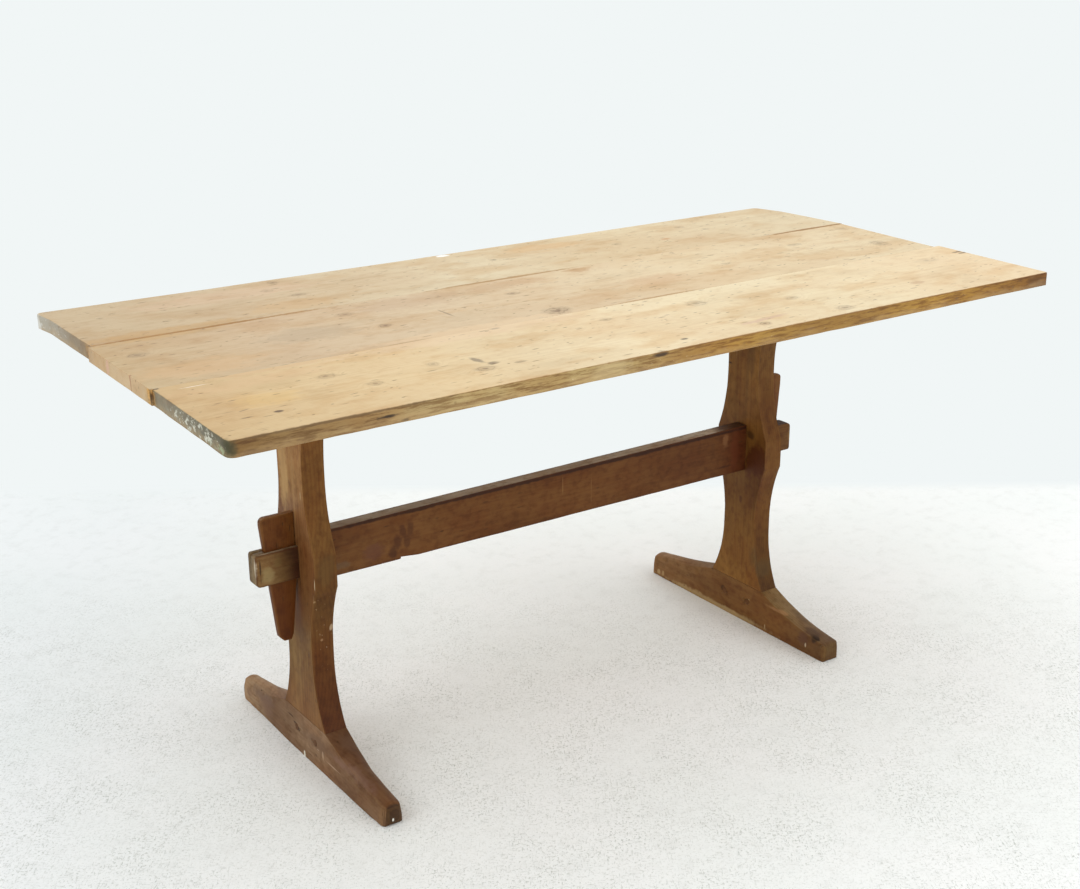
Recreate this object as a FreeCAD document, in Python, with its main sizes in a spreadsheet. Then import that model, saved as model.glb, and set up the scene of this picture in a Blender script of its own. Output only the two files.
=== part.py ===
import FreeCAD, Part
import math
import os

import Sketcher

# Trestle dining table: a loose three-plank top on two end trestles, tied by one
# stretcher whose through tenons are locked outside the posts by tusk wedges.
#
# Frame, in millimetres: the origin lies on the floor under the middle of the top,
# +X runs along the table, +Y across it towards the back edge and +Z up.
# "near" is the -X trestle, "far" the +X one.

SIZES = {
    # the top
    "table_height": 750.0,
    "top_width": 796.0,
    "top_thickness": 25.0,
    "front_joint": 124.0,          # front joint, this far in front of the centre line
    "back_joint": 150.0,           # back joint, this far behind it
    "front_joint_gap": 0.4,        # the planks have shrunk a little apart
    "back_joint_gap": 1.0,
    # plank ends, measured outwards from the middle of the table: the ends are sawn
    # a little out of square and no two planks are equally long
    "front_left_outer": 826.0,
    "front_left_inner": 818.0,
    "front_right_outer": 806.0,
    "front_right_inner": 821.0,
    "middle_left_front": 821.0,
    "middle_left_back": 816.0,
    "middle_right_front": 804.5,
    "middle_right_back": 822.0,
    "back_left_inner": 811.0,
    "back_left_knee": 811.5,       # the near back corner stands proud of the saw cut
    "back_left_outer": 819.0,
    "back_left_knee_at": 345.0,
    "back_right_inner": 826.0,
    "back_right_knee": 818.0,      # the far back corner is worn down to a knee
    "back_right_outer": 801.0,
    "back_right_knee_at": 330.0,
    "front_left_round": 14.0,      # outer corners of the top, seen from above
    "front_right_round": 3.5,
    "back_left_round": 9.0,
    "back_right_round": 16.0,
    "outer_arris_round": 3.0,
    "middle_arris_round": 1.0,
    # dowels across the joints between the planks
    "dowel_diameter": 10.0,
    "dowel_depth": 30.0,           # into each plank
    "dowel_pitch": 640.0,
    # battens in dovetailed housings across the underside
    "batten_width": 60.0,
    "batten_depth": 24.0,
    "batten_front": 320.0,
    "batten_back": 396.0,
    "batten_bevel": 10.0,
    "batten_clearance": 2.0,
    "dovetail_neck": 44.0,
    "dovetail_crown": 52.0,
    "dovetail_depth": 10.0,
    # the trestles
    "trestle_spacing": 982.0,      # between the middles of the two posts
    "trestle_shift": 44.0,         # both trestles stand this far towards -X
    "board_thickness": 41.0,       # one thickness of board for foot, post and rail
    "foot_height": 82.0,
    # no two arms of the feet are alike: each one's reach from the middle of the post,
    # its height at the tip and the radius of its hollow upper edge
    "near_foot_front_reach": 270.0,
    "near_foot_front_height": 39.0,
    "near_foot_front_sweep": 900.0,
    "near_foot_back_reach": 272.0,
    "near_foot_back_height": 43.5,
    "near_foot_back_sweep": 2000.0,
    "far_foot_front_reach": 258.0,
    "far_foot_front_height": 37.0,
    "far_foot_front_sweep": 700.0,
    "far_foot_back_reach": 275.0,
    "far_foot_back_height": 44.5,
    "far_foot_back_sweep": 4000.0,
    "near_foot_end_round": 14.0,   # seen from the side
    "far_foot_end_round": 11.0,
    "near_foot_nose_round": 14.0,  # seen from above: worn rounder than the far foot
    "far_foot_nose_round": 8.0,
    "near_foot_heel_round": 9.0,
    "far_foot_heel_round": 4.0,
    "post_foot_half": 75.0,
    # the posts' edges were sawn by eye, so no two waists have quite the same depth
    "near_low_waist_front": 43.0,
    "near_low_waist_back": 46.0,
    "far_low_waist_front": 46.5,
    "far_low_waist_back": 43.5,
    "low_waist_from": 200.0,
    "low_waist_to": 225.0,
    "block_half": 70.5,
    "block_from": 343.0,
    "block_to": 400.0,
    "near_high_waist_front": 44.0,
    "near_high_waist_back": 45.5,
    "far_high_waist_front": 41.0,
    "far_high_waist_back": 47.0,
    "high_waist_from": 525.0,
    "high_waist_to": 545.0,
    "post_head_half": 72.0,
    "head_rail_length": 560.0,
    "head_rail_depth": 60.0,
    "head_rail_end_depth": 30.0,
    "head_rail_sweep": 900.0,
    # stub tenons that join each post to its foot and head rail
    "stub_half_width": 55.0,
    "stub_thickness": 14.0,
    "foot_stub_depth": 60.0,
    "head_stub_depth": 45.0,
    "peg_diameter": 12.0,
    "peg_spread": 35.0,            # from the middle of the post to each peg
    "foot_peg_height": 46.0,
    "head_peg_height": 688.0,
    # pegs that stand up from the head rails into the top
    "locating_diameter": 14.0,
    "locating_clearance": 0.4,     # radial, so that the top lifts off freely
    "locating_spread": 180.0,
    "locating_sunk": 25.0,
    "locating_stand": 12.0,
    "locating_headroom": 1.0,      # above each peg's tip
    "locating_tip": 3.0,
    # the stretcher and its tusk tenons
    "stretcher_near_bottom": 333.5,
    "stretcher_near_top": 419.5,
    "stretcher_far_bottom": 327.0,
    "stretcher_far_top": 421.5,
    "stretcher_thickness": 27.0,
    "tenon_bottom": 347.0,
    "tenon_top": 404.0,
    "tenon_reach": 77.0,           # beyond the post's outer face
    "near_end_upper_round": 5.0,
    "near_end_lower_round": 8.0,
    "far_end_upper_round": 9.0,
    "far_end_lower_round": 5.0,
    # the wedges, measured outwards from the post and down from the wedge's top
    "wedge_thickness": 12.0,
    "wedge_side_clearance": 0.2,
    "wedge_toe_rise": 10.0,
    "wedge_toe_inset": 12.0,
    "wedge_toe_slope": 9.0,
    "wedge_nose_drop": 118.0,
    "wedge_crown_round": 9.0,
    "mortise_inset": 5.0,          # the mortise starts inside the post's face
    "near_wedge_length": 227.0,
    "near_wedge_top": 463.0,
    "near_wedge_crown": 60.5,
    "near_wedge_cheek": 16.0,
    "near_wedge_seat": 56.0,
    "near_wedge_toe": 39.5,
    "far_wedge_length": 219.0,
    "far_wedge_top": 510.0,
    "far_wedge_crown": 53.0,
    "far_wedge_cheek": 24.0,
    "far_wedge_seat": 46.0,
    "far_wedge_toe": 31.0,
}

SHEET = "sizes"
PLAN, SIDE, END = "XY_Plane", "XZ_Plane", "YZ_Plane"


class Size:
    # A length that knows both its number and the sheet expression it comes from.

    def __init__(self, value, text):
        self.value = value
        self.text = text

    def __add__(self, other):
        return Size(self.value + number(other), f"({self.text} + {words(other)})")

    def __sub__(self, other):
        return Size(self.value - number(other), f"({self.text} - {words(other)})")

    def __mul__(self, other):
        return Size(self.value * number(other), f"({self.text} * {words(other)})")

    def __truediv__(self, other):
        return Size(self.value / number(other), f"({self.text} / {words(other)})")

    def __neg__(self):
        return Size(-self.value, f"(0 - {self.text})")


def number(item):
    return item.value if isinstance(item, Size) else float(item)


def words(item):
    return item.text if isinstance(item, Size) else repr(float(item))


def size(alias):
    return Size(SIZES[alias], f"{SHEET}.{alias}")


def make_sheet(doc):
    sheet = doc.addObject("Spreadsheet::Sheet", SHEET)
    for row, (alias, value) in enumerate(SIZES.items(), start=1):
        sheet.set(f"A{row}", alias)
        sheet.set(f"B{row}", str(value))
        sheet.setAlias(f"B{row}", alias)
    doc.recompute()


def bind(item, prop, value):
    item.setExpression(prop, words(value))


def vector(across, up):
    return FreeCAD.Vector(number(across), number(up), 0)


# ---------------------------------------------------------------- sketch helpers

def sketch_on(body, name, plane, offset=0.0):
    # The offset runs along the plane's own normal: +Z, -Y or +X.
    sketch = body.newObject("Sketcher::SketchObject", name)
    base = [item for item in body.Origin.OriginFeatures if item.Role == plane][0]
    sketch.AttachmentSupport = [(base, "")]
    sketch.MapMode = "FlatFace"
    shift = FreeCAD.Vector(0, 0, number(offset))
    sketch.AttachmentOffset = FreeCAD.Placement(shift, FreeCAD.Rotation())
    if isinstance(offset, Size):
        bind(sketch, "AttachmentOffset.Base.z", offset)
    return sketch


def fix_point(sketch, edge, end, across, up):
    for kind, value, axis in (("DistanceX", across, -2), ("DistanceY", up, -1)):
        if number(value) == 0.0:
            sketch.addConstraint(Sketcher.Constraint("PointOnObject", edge, end, axis))
            continue
        rule = Sketcher.Constraint(kind, -1, 1, edge, end, number(value))
        index = sketch.addConstraint(rule)
        if isinstance(value, Size):
            bind(sketch, f"Constraints[{index}]", value)


def hollow_arc(start, end, radius):
    # The arc from start to end that bulges to the left of travel, into the wood.
    chord = end - start
    normal = FreeCAD.Vector(-chord.y, chord.x, 0).normalize()
    reach = math.sqrt(number(radius) ** 2 - (chord.Length / 2) ** 2)
    centre = (start + end) / 2 - normal * reach
    first = math.atan2(end.y - centre.y, end.x - centre.x)
    last = math.atan2(start.y - centre.y, start.x - centre.x)
    if last < first:
        last += 2 * math.pi
    ring = Part.Circle(centre, FreeCAD.Vector(0, 0, 1), number(radius))
    return Part.ArcOfCircle(ring, first, last)


def outline(sketch, corners, hollows=None):
    # A closed outline, counterclockwise. The hollows give a radius for each edge that
    # curves into the wood, keyed by the corner from which the edge leaves.
    hollows = hollows or {}
    ends = []
    for index, corner in enumerate(corners):
        start = vector(*corner)
        end = vector(*corners[(index + 1) % len(corners)])
        if index in hollows:
            radius = hollows[index]
            edge = sketch.addGeometry(hollow_arc(start, end, radius), False)
            ends.append((edge, 2, 1))
            rule = sketch.addConstraint(Sketcher.Constraint("Radius", edge, number(radius)))
            bind(sketch, f"Constraints[{rule}]", radius)
        else:
            edge = sketch.addGeometry(Part.LineSegment(start, end), False)
            ends.append((edge, 1, 2))
    for index, (edge, first, last) in enumerate(ends):
        follower, entry, _ = ends[(index + 1) % len(ends)]
        sketch.addConstraint(Sketcher.Constraint("Coincident", edge, last, follower, entry))
        fix_point(sketch, edge, first, *corners[index])


def rectangle(sketch, left, right, low, high):
    outline(sketch, [(left, low), (right, low), (right, high), (left, high)])


def circle(sketch, across, up, diameter):
    radius = number(diameter) / 2
    shape = Part.Circle(vector(across, up), FreeCAD.Vector(0, 0, 1), radius)
    edge = sketch.addGeometry(shape, False)
    rule = sketch.addConstraint(Sketcher.Constraint("Diameter", edge, number(diameter)))
    bind(sketch, f"Constraints[{rule}]", diameter)
    fix_point(sketch, edge, 3, across, up)


# --------------------------------------------------------------- feature helpers

def new_body(doc, label):
    body = doc.addObject("PartDesign::Body", label)
    body.Label = label
    return body


def pad(body, sketch, length, symmetric=False):
    feature = body.newObject("PartDesign::Pad", f"{sketch.Name}_pad")
    feature.Profile = sketch
    feature.Length = number(length)
    feature.SideType = "Symmetric" if symmetric else "One side"
    bind(feature, "Length", length)
    sketch.Visibility = False
    return feature


def pocket(body, sketch, length=None, symmetric=False, reverse=False):
    # With no length the cut goes through everything. Each cut has to take wood off.
    body.Document.recompute()
    before = body.Shape.Volume
    feature = body.newObject("PartDesign::Pocket", f"{sketch.Name}_cut")
    feature.Profile = sketch
    feature.SideType = "Symmetric" if symmetric else "One side"
    feature.Reversed = reverse
    if length is None:
        feature.Type = "ThroughAll"
    else:
        feature.Length = number(length)
        bind(feature, "Length", length)
    body.Document.recompute()
    least_waste = 1.0              # mm3
    if body.Shape.Volume > before - least_waste:
        raise RuntimeError(f"{feature.Name} cuts nothing")
    return feature


def edges_where(body, chosen):
    names = []
    for index, edge in enumerate(body.Shape.Edges, start=1):
        if chosen(edge):
            names.append(f"Edge{index}")
    if not names:
        raise RuntimeError(f"{body.Label}: no edge to dress")
    return names


def dress(body, kind, name, chosen, prop, amount):
    # A fillet or a chamfer on the edges that the test picks.
    body.Document.recompute()
    names = edges_where(body, chosen)
    base = body.Tip
    feature = body.newObject(f"PartDesign::{kind}", name)
    feature.Base = (base, names)
    setattr(feature, prop, number(amount))
    bind(feature, prop, amount)
    body.Document.recompute()
    return feature


def runs_along(edge, axis):
    if not isinstance(edge.Curve, Part.Line):
        return False
    return abs(abs(edge.Curve.Direction.dot(axis)) - 1.0) < 1e-6


def at(edge, x=None, y=None, z=None, reach=0.5):
    middle = edge.CenterOfMass
    wanted = ((x, middle.x), (y, middle.y), (z, middle.z))
    return all(want is None or abs(number(want) - have) < reach for want, have in wanted)


def cylinder(doc, name, diameter, length, place, turn):
    shape = doc.addObject("Part::Cylinder", name)
    bind(shape, "Radius", diameter / 2)
    bind(shape, "Height", length)
    shape.Placement = FreeCAD.Placement(FreeCAD.Vector(0, 0, 0), turn)
    for letter, value in zip("xyz", place):
        if isinstance(value, Size):
            bind(shape, f"Placement.Base.{letter}", value)
    return shape


def group(doc, label, pieces):
    whole = doc.addObject("Part::Compound", label)
    whole.Label = label
    whole.Links = pieces
    return whole


ALONG_X = FreeCAD.Rotation(FreeCAD.Vector(0, 1, 0), 90)
ALONG_Y = FreeCAD.Rotation(FreeCAD.Vector(1, 0, 0), -90)
UPRIGHT = FreeCAD.Rotation()
X_AXIS = FreeCAD.Vector(1, 0, 0)
Y_AXIS = FreeCAD.Vector(0, 1, 0)
Z_AXIS = FreeCAD.Vector(0, 0, 1)


# ------------------------------------------------------------- derived positions

def near_centre():
    return -(size("trestle_spacing") / 2) - size("trestle_shift")


def far_centre():
    return size("trestle_spacing") / 2 - size("trestle_shift")


def half_board():
    return size("board_thickness") / 2


def underside():
    return size("table_height") - size("top_thickness")


def rail_bottom():
    return underside() - size("head_rail_depth")


def batten_centre(side):
    # Each batten lies just inside its head rail, which stops the top from sliding.
    inset = half_board() + size("batten_clearance") + size("batten_width") / 2
    return near_centre() + inset if side < 0 else far_centre() - inset


def sweep_radius(run, rise):
    # The arc that leaves the waist upright and gains this rise over this run.
    return (run * run + rise * rise) / (rise * 2)


# --------------------------------------------------------------------- trestles

def foot(doc, label, centre):
    body = new_body(doc, label)
    front, back = size(f"{label}_front_reach"), size(f"{label}_back_reach")
    front_tip, back_tip = size(f"{label}_front_height"), size(f"{label}_back_height")
    shoulder = size("post_foot_half")
    height = size("foot_height")
    profile = sketch_on(body, f"{label}_profile", END)
    corners = [
        (-front, 0), (back, 0), (back, back_tip),
        (shoulder, height), (-shoulder, height), (-front, front_tip),
    ]
    outline(profile, corners, {2: size(f"{label}_back_sweep"), 4: size(f"{label}_front_sweep")})
    pad(body, profile, size("board_thickness"), symmetric=True)

    mortise = sketch_on(body, f"{label}_mortise", PLAN, height)
    thick = size("stub_thickness") / 2
    wide = size("stub_half_width")
    rectangle(mortise, -thick, thick, -wide, wide)
    pocket(body, mortise, size("foot_stub_depth"))
    peg_holes(body, label, size("foot_peg_height"))

    def toe(edge):
        tips = ((-front, front_tip), (back, back_tip))
        return runs_along(edge, X_AXIS) and any(at(edge, y=reach, z=tip) for reach, tip in tips)

    def heel(edge):
        return runs_along(edge, X_AXIS) and any(at(edge, y=reach, z=0) for reach in (-front, back))

    dress(body, "Fillet", f"{label}_toe_round", toe, "Radius", size(f"{label}_end_round"))
    dress(body, "Fillet", f"{label}_heel_round", heel, "Radius", size(f"{label}_heel_round"))
    noses = sketch_on(body, f"{label}_noses", PLAN, height)
    for side_y, reach in ((-1, front), (1, back)):
        for side_x in (-1, 1):
            nose_corner(noses, side_x, side_y, reach, size(f"{label}_nose_round"))
    pocket(body, noses)
    place_along(body, centre)


def nose_corner(sketch, side_x, side_y, reach, radius):
    # The waste outside one rounded corner of the foot, seen from above.
    face, spare = half_board(), 1.0
    corners = [
        ((face - radius) * side_x, reach * side_y),
        (face * side_x, (reach - radius) * side_y),
        ((face + spare) * side_x, (reach - radius) * side_y),
        ((face + spare) * side_x, (reach + spare) * side_y),
        ((face - radius) * side_x, (reach + spare) * side_y),
    ]
    if side_x * side_y > 0:
        outline(sketch, corners, {0: radius})
    else:
        corners.reverse()
        outline(sketch, corners, {3: radius})


def post_edge(end, side):
    # One scooped edge, from the foot up: how far it stands off the middle at each level.
    # It flares at the foot, is waisted, full width again where the stretcher passes,
    # waisted once more and flared under the head rail.
    foot_half, block_half = size("post_foot_half"), size("block_half")
    low_half, high_half = size(f"{end}_low_waist_{side}"), size(f"{end}_high_waist_{side}")
    return [
        (foot_half, size("foot_height")), (low_half, size("low_waist_from")),
        (low_half, size("low_waist_to")), (block_half, size("block_from")),
        (block_half, size("block_to")), (high_half, size("high_waist_from")),
        (high_half, size("high_waist_to")), (size("post_head_half"), rail_bottom()),
    ]


def scoop_radius(levels, index):
    (half_a, low), (half_b, high) = levels[index], levels[index + 1]
    rise = half_a - half_b if half_a.value > half_b.value else half_b - half_a
    return sweep_radius(high - low, rise)


def post(doc, label, end, centre):
    body = new_body(doc, label)
    front, back = post_edge(end, "front"), post_edge(end, "back")
    corners = back + [(-half, level) for half, level in reversed(front)]
    last = len(corners) - 2
    scoops = {}
    for index in (0, 2, 4, 6):
        scoops[index] = scoop_radius(back, index)
        scoops[last - index] = scoop_radius(front, index)
    profile = sketch_on(body, f"{label}_profile", END)
    outline(profile, corners, scoops)
    pad(body, profile, size("board_thickness"), symmetric=True)

    wide = size("stub_half_width")
    for name, low, high in (
        ("foot_stub", size("foot_height") - size("foot_stub_depth"), size("foot_height")),
        ("head_stub", rail_bottom(), rail_bottom() + size("head_stub_depth")),
    ):
        stub = sketch_on(body, f"{label}_{name}", END)
        rectangle(stub, -wide, wide, low, high)
        pad(body, stub, size("stub_thickness"), symmetric=True)

    mortise = sketch_on(body, f"{label}_mortise", END)
    thick = size("stretcher_thickness") / 2
    rectangle(mortise, -thick, thick, size("tenon_bottom"), size("tenon_top"))
    pocket(body, mortise, symmetric=True)
    peg_holes(body, f"{label}_foot", size("foot_peg_height"))
    peg_holes(body, f"{label}_head", size("head_peg_height"))
    place_along(body, centre)


def head_rail(doc, label, centre):
    # The foot turned over and made slimmer; the top rests on its flat upper edge.
    body = new_body(doc, label)
    half = size("head_rail_length") / 2
    shoulder = size("post_head_half")
    low, high = rail_bottom(), underside()
    end = high - size("head_rail_end_depth")
    sweep = size("head_rail_sweep")
    profile = sketch_on(body, f"{label}_profile", END)
    corners = [
        (-shoulder, low), (shoulder, low), (half, end),
        (half, high), (-half, high), (-half, end),
    ]
    outline(profile, corners, {1: sweep, 5: sweep})
    pad(body, profile, size("board_thickness"), symmetric=True)

    mortise = sketch_on(body, f"{label}_mortise", PLAN, low)
    thick = size("stub_thickness") / 2
    wide = size("stub_half_width")
    rectangle(mortise, -thick, thick, -wide, wide)
    pocket(body, mortise, size("head_stub_depth"), reverse=True)
    peg_holes(body, label, size("head_peg_height"))

    sockets = sketch_on(body, f"{label}_sockets", PLAN, high)
    for side in (-1, 1):
        circle(sockets, 0, size("locating_spread") * side, size("locating_diameter"))
    pocket(body, sockets, size("locating_sunk"))
    place_along(body, centre)


def peg_holes(body, name, height):
    holes = sketch_on(body, f"{name}_peg_holes", END)
    for side in (-1, 1):
        circle(holes, size("peg_spread") * side, height, size("peg_diameter"))
    pocket(body, holes, symmetric=True)


def place_along(body, centre):
    bind(body, "Placement.Base.x", centre)


def cross_pegs(doc, label, centre, height):
    # Pegs driven through the cheeks and the stub tenon, flush with both faces.
    pieces = []
    for side in (-1, 1):
        place = (centre - half_board(), size("peg_spread") * side, height)
        name = f"{label}_{'front' if side < 0 else 'back'}"
        pieces.append(cylinder(doc, name, size("peg_diameter"), size("board_thickness"), place, ALONG_X))
    group(doc, label, pieces)


def locating_pegs(doc, label, centre):
    pieces = []
    foot_level = underside() - size("locating_sunk")
    barrel = size("locating_sunk") + size("locating_stand") - size("locating_tip")
    for side in (-1, 1):
        name = f"{label}_{'front' if side < 0 else 'back'}"
        across = size("locating_spread") * side
        shank = cylinder(doc, f"{name}_shank", size("locating_diameter"), barrel,
                         (centre, across, foot_level), UPRIGHT)
        tip = doc.addObject("Part::Cone", f"{name}_tip")
        bind(tip, "Radius1", size("locating_diameter") / 2)
        bind(tip, "Radius2", size("locating_diameter") / 2 - size("locating_tip") / 2)
        bind(tip, "Height", size("locating_tip"))
        bind(tip, "Placement.Base.x", centre)
        bind(tip, "Placement.Base.y", across)
        bind(tip, "Placement.Base.z", foot_level + barrel)
        whole = doc.addObject("Part::Fuse", name)
        whole.Base = shank
        whole.Tool = tip
        pieces.append(whole)
    group(doc, label, pieces)


# ---------------------------------------------------------- stretcher and wedges

def wedge_slope(end):
    # How fast the wedge's outer edge runs in towards the post, per unit of drop.
    run = size(f"{end}_wedge_seat") - size(f"{end}_wedge_toe")
    toe_level = size(f"{end}_wedge_top") - size(f"{end}_wedge_length") + size("wedge_toe_rise")
    return run / (size("tenon_top") - toe_level)


def stretcher(doc, label):
    body = new_body(doc, label)
    near_low, near_high = size("stretcher_near_bottom"), size("stretcher_near_top")
    far_low, far_high = size("stretcher_far_bottom"), size("stretcher_far_top")
    tenon_low, tenon_high = size("tenon_bottom"), size("tenon_top")
    near_shoulder = near_centre() + half_board()
    far_shoulder = far_centre() - half_board()
    near_face, far_face = near_centre() - half_board(), far_centre() + half_board()
    near_end, far_end = near_face - size("tenon_reach"), far_face + size("tenon_reach")
    profile = sketch_on(body, f"{label}_profile", SIDE)
    outline(profile, [
        (near_shoulder, near_low), (far_shoulder, far_low),
        (far_shoulder, tenon_low), (far_end, tenon_low),
        (far_end, tenon_high), (far_shoulder, tenon_high),
        (far_shoulder, far_high), (near_shoulder, near_high),
        (near_shoulder, tenon_high), (near_end, tenon_high),
        (near_end, tenon_low), (near_shoulder, tenon_low),
    ])
    pad(body, profile, size("stretcher_thickness"), symmetric=True)

    # The outer wall of each mortise leans like the wedge's edge, so the two bear flat.
    width = size("wedge_thickness") + size("wedge_side_clearance") * 2
    for end, face, out in (("near", near_face, -1), ("far", far_face, 1)):
        seat, slope = size(f"{end}_wedge_seat"), wedge_slope(end)
        inner = face - size("mortise_inset") * out
        lower = seat - slope * (tenon_high - tenon_low)
        mortise = sketch_on(body, f"{label}_{end}_mortise", SIDE)
        outline(mortise, [
            (inner, tenon_low), (face + lower * out, tenon_low),
            (face + seat * out, tenon_high), (inner, tenon_high),
        ])
        pocket(body, mortise, width, symmetric=True)

    for end, edge_x in (("near", near_end), ("far", far_end)):
        for name, level in (("upper", tenon_high), ("lower", tenon_low)):
            def corner(edge, x=edge_x, z=level):
                return runs_along(edge, Y_AXIS) and at(edge, x=x, z=z)
            amount = size(f"{end}_end_{name}_round")
            dress(body, "Fillet", f"{label}_{end}_{name}_round", corner, "Radius", amount)


def wedge(doc, end, face, out):
    # Drawn in a corner frame: outwards from the post's face and down from the top.
    label = f"{end}_wedge"
    body = new_body(doc, label)
    top = size(f"{end}_wedge_top")
    bottom = top - size(f"{end}_wedge_length")
    toe_level = bottom + size("wedge_toe_rise")
    crown, seat, toe = size(f"{end}_wedge_crown"), size(f"{end}_wedge_seat"), size(f"{end}_wedge_toe")
    inset, slope = size("wedge_toe_inset"), size("wedge_toe_slope")
    points = [
        (0, top), (crown, top), (crown, top - size(f"{end}_wedge_cheek")),
        (seat, size("tenon_top")), (toe, toe_level), (toe - slope, bottom),
        (inset + slope / 2, bottom), (inset, toe_level), (0, top - size("wedge_nose_drop")),
    ]
    corners = [(across * out if isinstance(across, Size) else 0, level) for across, level in points]
    profile = sketch_on(body, f"{label}_profile", SIDE)
    outline(profile, corners)
    pad(body, profile, size("wedge_thickness"), symmetric=True)

    def crown_corner(edge):
        return runs_along(edge, Y_AXIS) and at(edge, x=crown * out, z=top)

    dress(body, "Fillet", f"{label}_crown_round", crown_corner, "Radius", size("wedge_crown_round"))
    place_along(body, face)


# ---------------------------------------------------------------------- the top

def plank(doc, label, left, right, rounds, arris, joints):
    # left and right list the corners of each end from the front backwards, each as
    # its reach from the middle of the table and its place across it
    body = new_body(doc, label)
    back = right[-1][1]
    plan = sketch_on(body, f"{label}_plan", PLAN, underside())
    corners = [(-left[0][0], left[0][1])] + right + [(-reach, across) for reach, across in left[:0:-1]]
    outline(plan, corners)
    pad(body, plan, size("top_thickness"))

    for side in (-1, 1):
        housing = sketch_on(body, f"{label}_{'near' if side < 0 else 'far'}_housing", SIDE, -back)
        centre, level = batten_centre(side), underside()
        neck, crown = size("dovetail_neck") / 2, size("dovetail_crown") / 2
        rise = level + size("dovetail_depth")
        outline(housing, [
            (centre - neck, level), (centre + neck, level),
            (centre + crown, rise), (centre - crown, rise),
        ])
        stopped = label == "top_plank_front"
        pocket(body, housing, back + size("batten_front") if stopped else None, reverse=True)

    for name, joint, behind in joints:
        holes = sketch_on(body, f"{label}_{name}_dowel_holes", SIDE, -joint)
        for step in (-1, 0, 1):
            across = size("dowel_pitch") * step if step else 0
            circle(holes, across, underside() + size("top_thickness") / 2, size("dowel_diameter"))
        pocket(body, holes, size("dowel_depth"), reverse=not behind)

    if label != "top_plank_middle":
        for centre in (near_centre(), far_centre()):
            side = -1 if label == "top_plank_front" else 1
            end = "near" if centre.value < 0 else "far"
            socket = sketch_on(body, f"{label}_{end}_socket", PLAN, underside())
            bore = size("locating_diameter") + size("locating_clearance") * 2
            circle(socket, centre, size("locating_spread") * side, bore)
            pocket(body, socket, size("locating_stand") + size("locating_headroom"), reverse=True)

    for index, (x_place, y_place, amount) in enumerate(rounds):
        def corner(edge, x=x_place, y=y_place):
            return runs_along(edge, Z_AXIS) and at(edge, x=x, y=y)
        dress(body, "Fillet", f"{label}_corner_{index}", corner, "Radius", amount)

    joint_lines = [number(joint) for _, joint, _ in joints]

    def upper_arris(edge):
        on_joint = any(at(edge, y=line) for line in joint_lines)
        return at(edge, z=size("table_height"), reach=0.01) and not on_joint

    dress(body, "Fillet", f"{label}_arris", upper_arris, "Radius", arris)


def planks(doc):
    half = size("top_width") / 2
    front_edge = -size("front_joint") - size("front_joint_gap") / 2
    middle_front = -size("front_joint") + size("front_joint_gap") / 2
    middle_back = size("back_joint") - size("back_joint_gap") / 2
    back_edge = size("back_joint") + size("back_joint_gap") / 2
    left, right = size("front_left_outer"), size("front_right_outer")
    plank(
        doc, "top_plank_front",
        [(left, -half), (size("front_left_inner"), front_edge)],
        [(right, -half), (size("front_right_inner"), front_edge)],
        [(-left, -half, size("front_left_round")), (right, -half, size("front_right_round"))],
        size("outer_arris_round"), [("front", front_edge, False)],
    )
    plank(
        doc, "top_plank_middle",
        [(size("middle_left_front"), middle_front), (size("middle_left_back"), middle_back)],
        [(size("middle_right_front"), middle_front), (size("middle_right_back"), middle_back)],
        [],
        size("middle_arris_round"), [("front", middle_front, True), ("back", middle_back, False)],
    )
    left, right = size("back_left_outer"), size("back_right_outer")
    plank(
        doc, "top_plank_back",
        [
            (size("back_left_inner"), back_edge),
            (size("back_left_knee"), size("back_left_knee_at")), (left, half),
        ],
        [
            (size("back_right_inner"), back_edge),
            (size("back_right_knee"), size("back_right_knee_at")), (right, half),
        ],
        [(-left, half, size("back_left_round")), (right, half, size("back_right_round"))],
        size("outer_arris_round"), [("back", back_edge, True)],
    )


def plank_dowels(doc, label, joint, gap):
    length = size("dowel_depth") * 2 + gap
    level = underside() + size("top_thickness") / 2
    pieces = []
    for step, name in ((-1, "near"), (0, "middle"), (1, "far")):
        across = size("dowel_pitch") * step if step else 0
        place = (across, joint - length / 2, level)
        pieces.append(cylinder(doc, f"{label}_{name}", size("dowel_diameter"), length, place, ALONG_Y))
    group(doc, label, pieces)


def batten(doc, label, side):
    body = new_body(doc, label)
    centre, level = batten_centre(side), underside()
    wide = size("batten_width") / 2
    neck, crown = size("dovetail_neck") / 2, size("dovetail_crown") / 2
    low, rise = level - size("batten_depth"), level + size("dovetail_depth")
    profile = sketch_on(body, f"{label}_profile", SIDE, -size("batten_back"))
    outline(profile, [
        (centre - wide, low), (centre + wide, low), (centre + wide, level), (centre + neck, level),
        (centre + crown, rise), (centre - crown, rise), (centre - neck, level), (centre - wide, level),
    ])
    pad(body, profile, size("batten_back") + size("batten_front"))

    def front_bottom(edge):
        return runs_along(edge, X_AXIS) and at(edge, y=-size("batten_front"), z=low)

    dress(body, "Chamfer", f"{label}_bevel", front_bottom, "Size", size("batten_bevel"))


# --------------------------------------------------------------------- assembly

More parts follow.
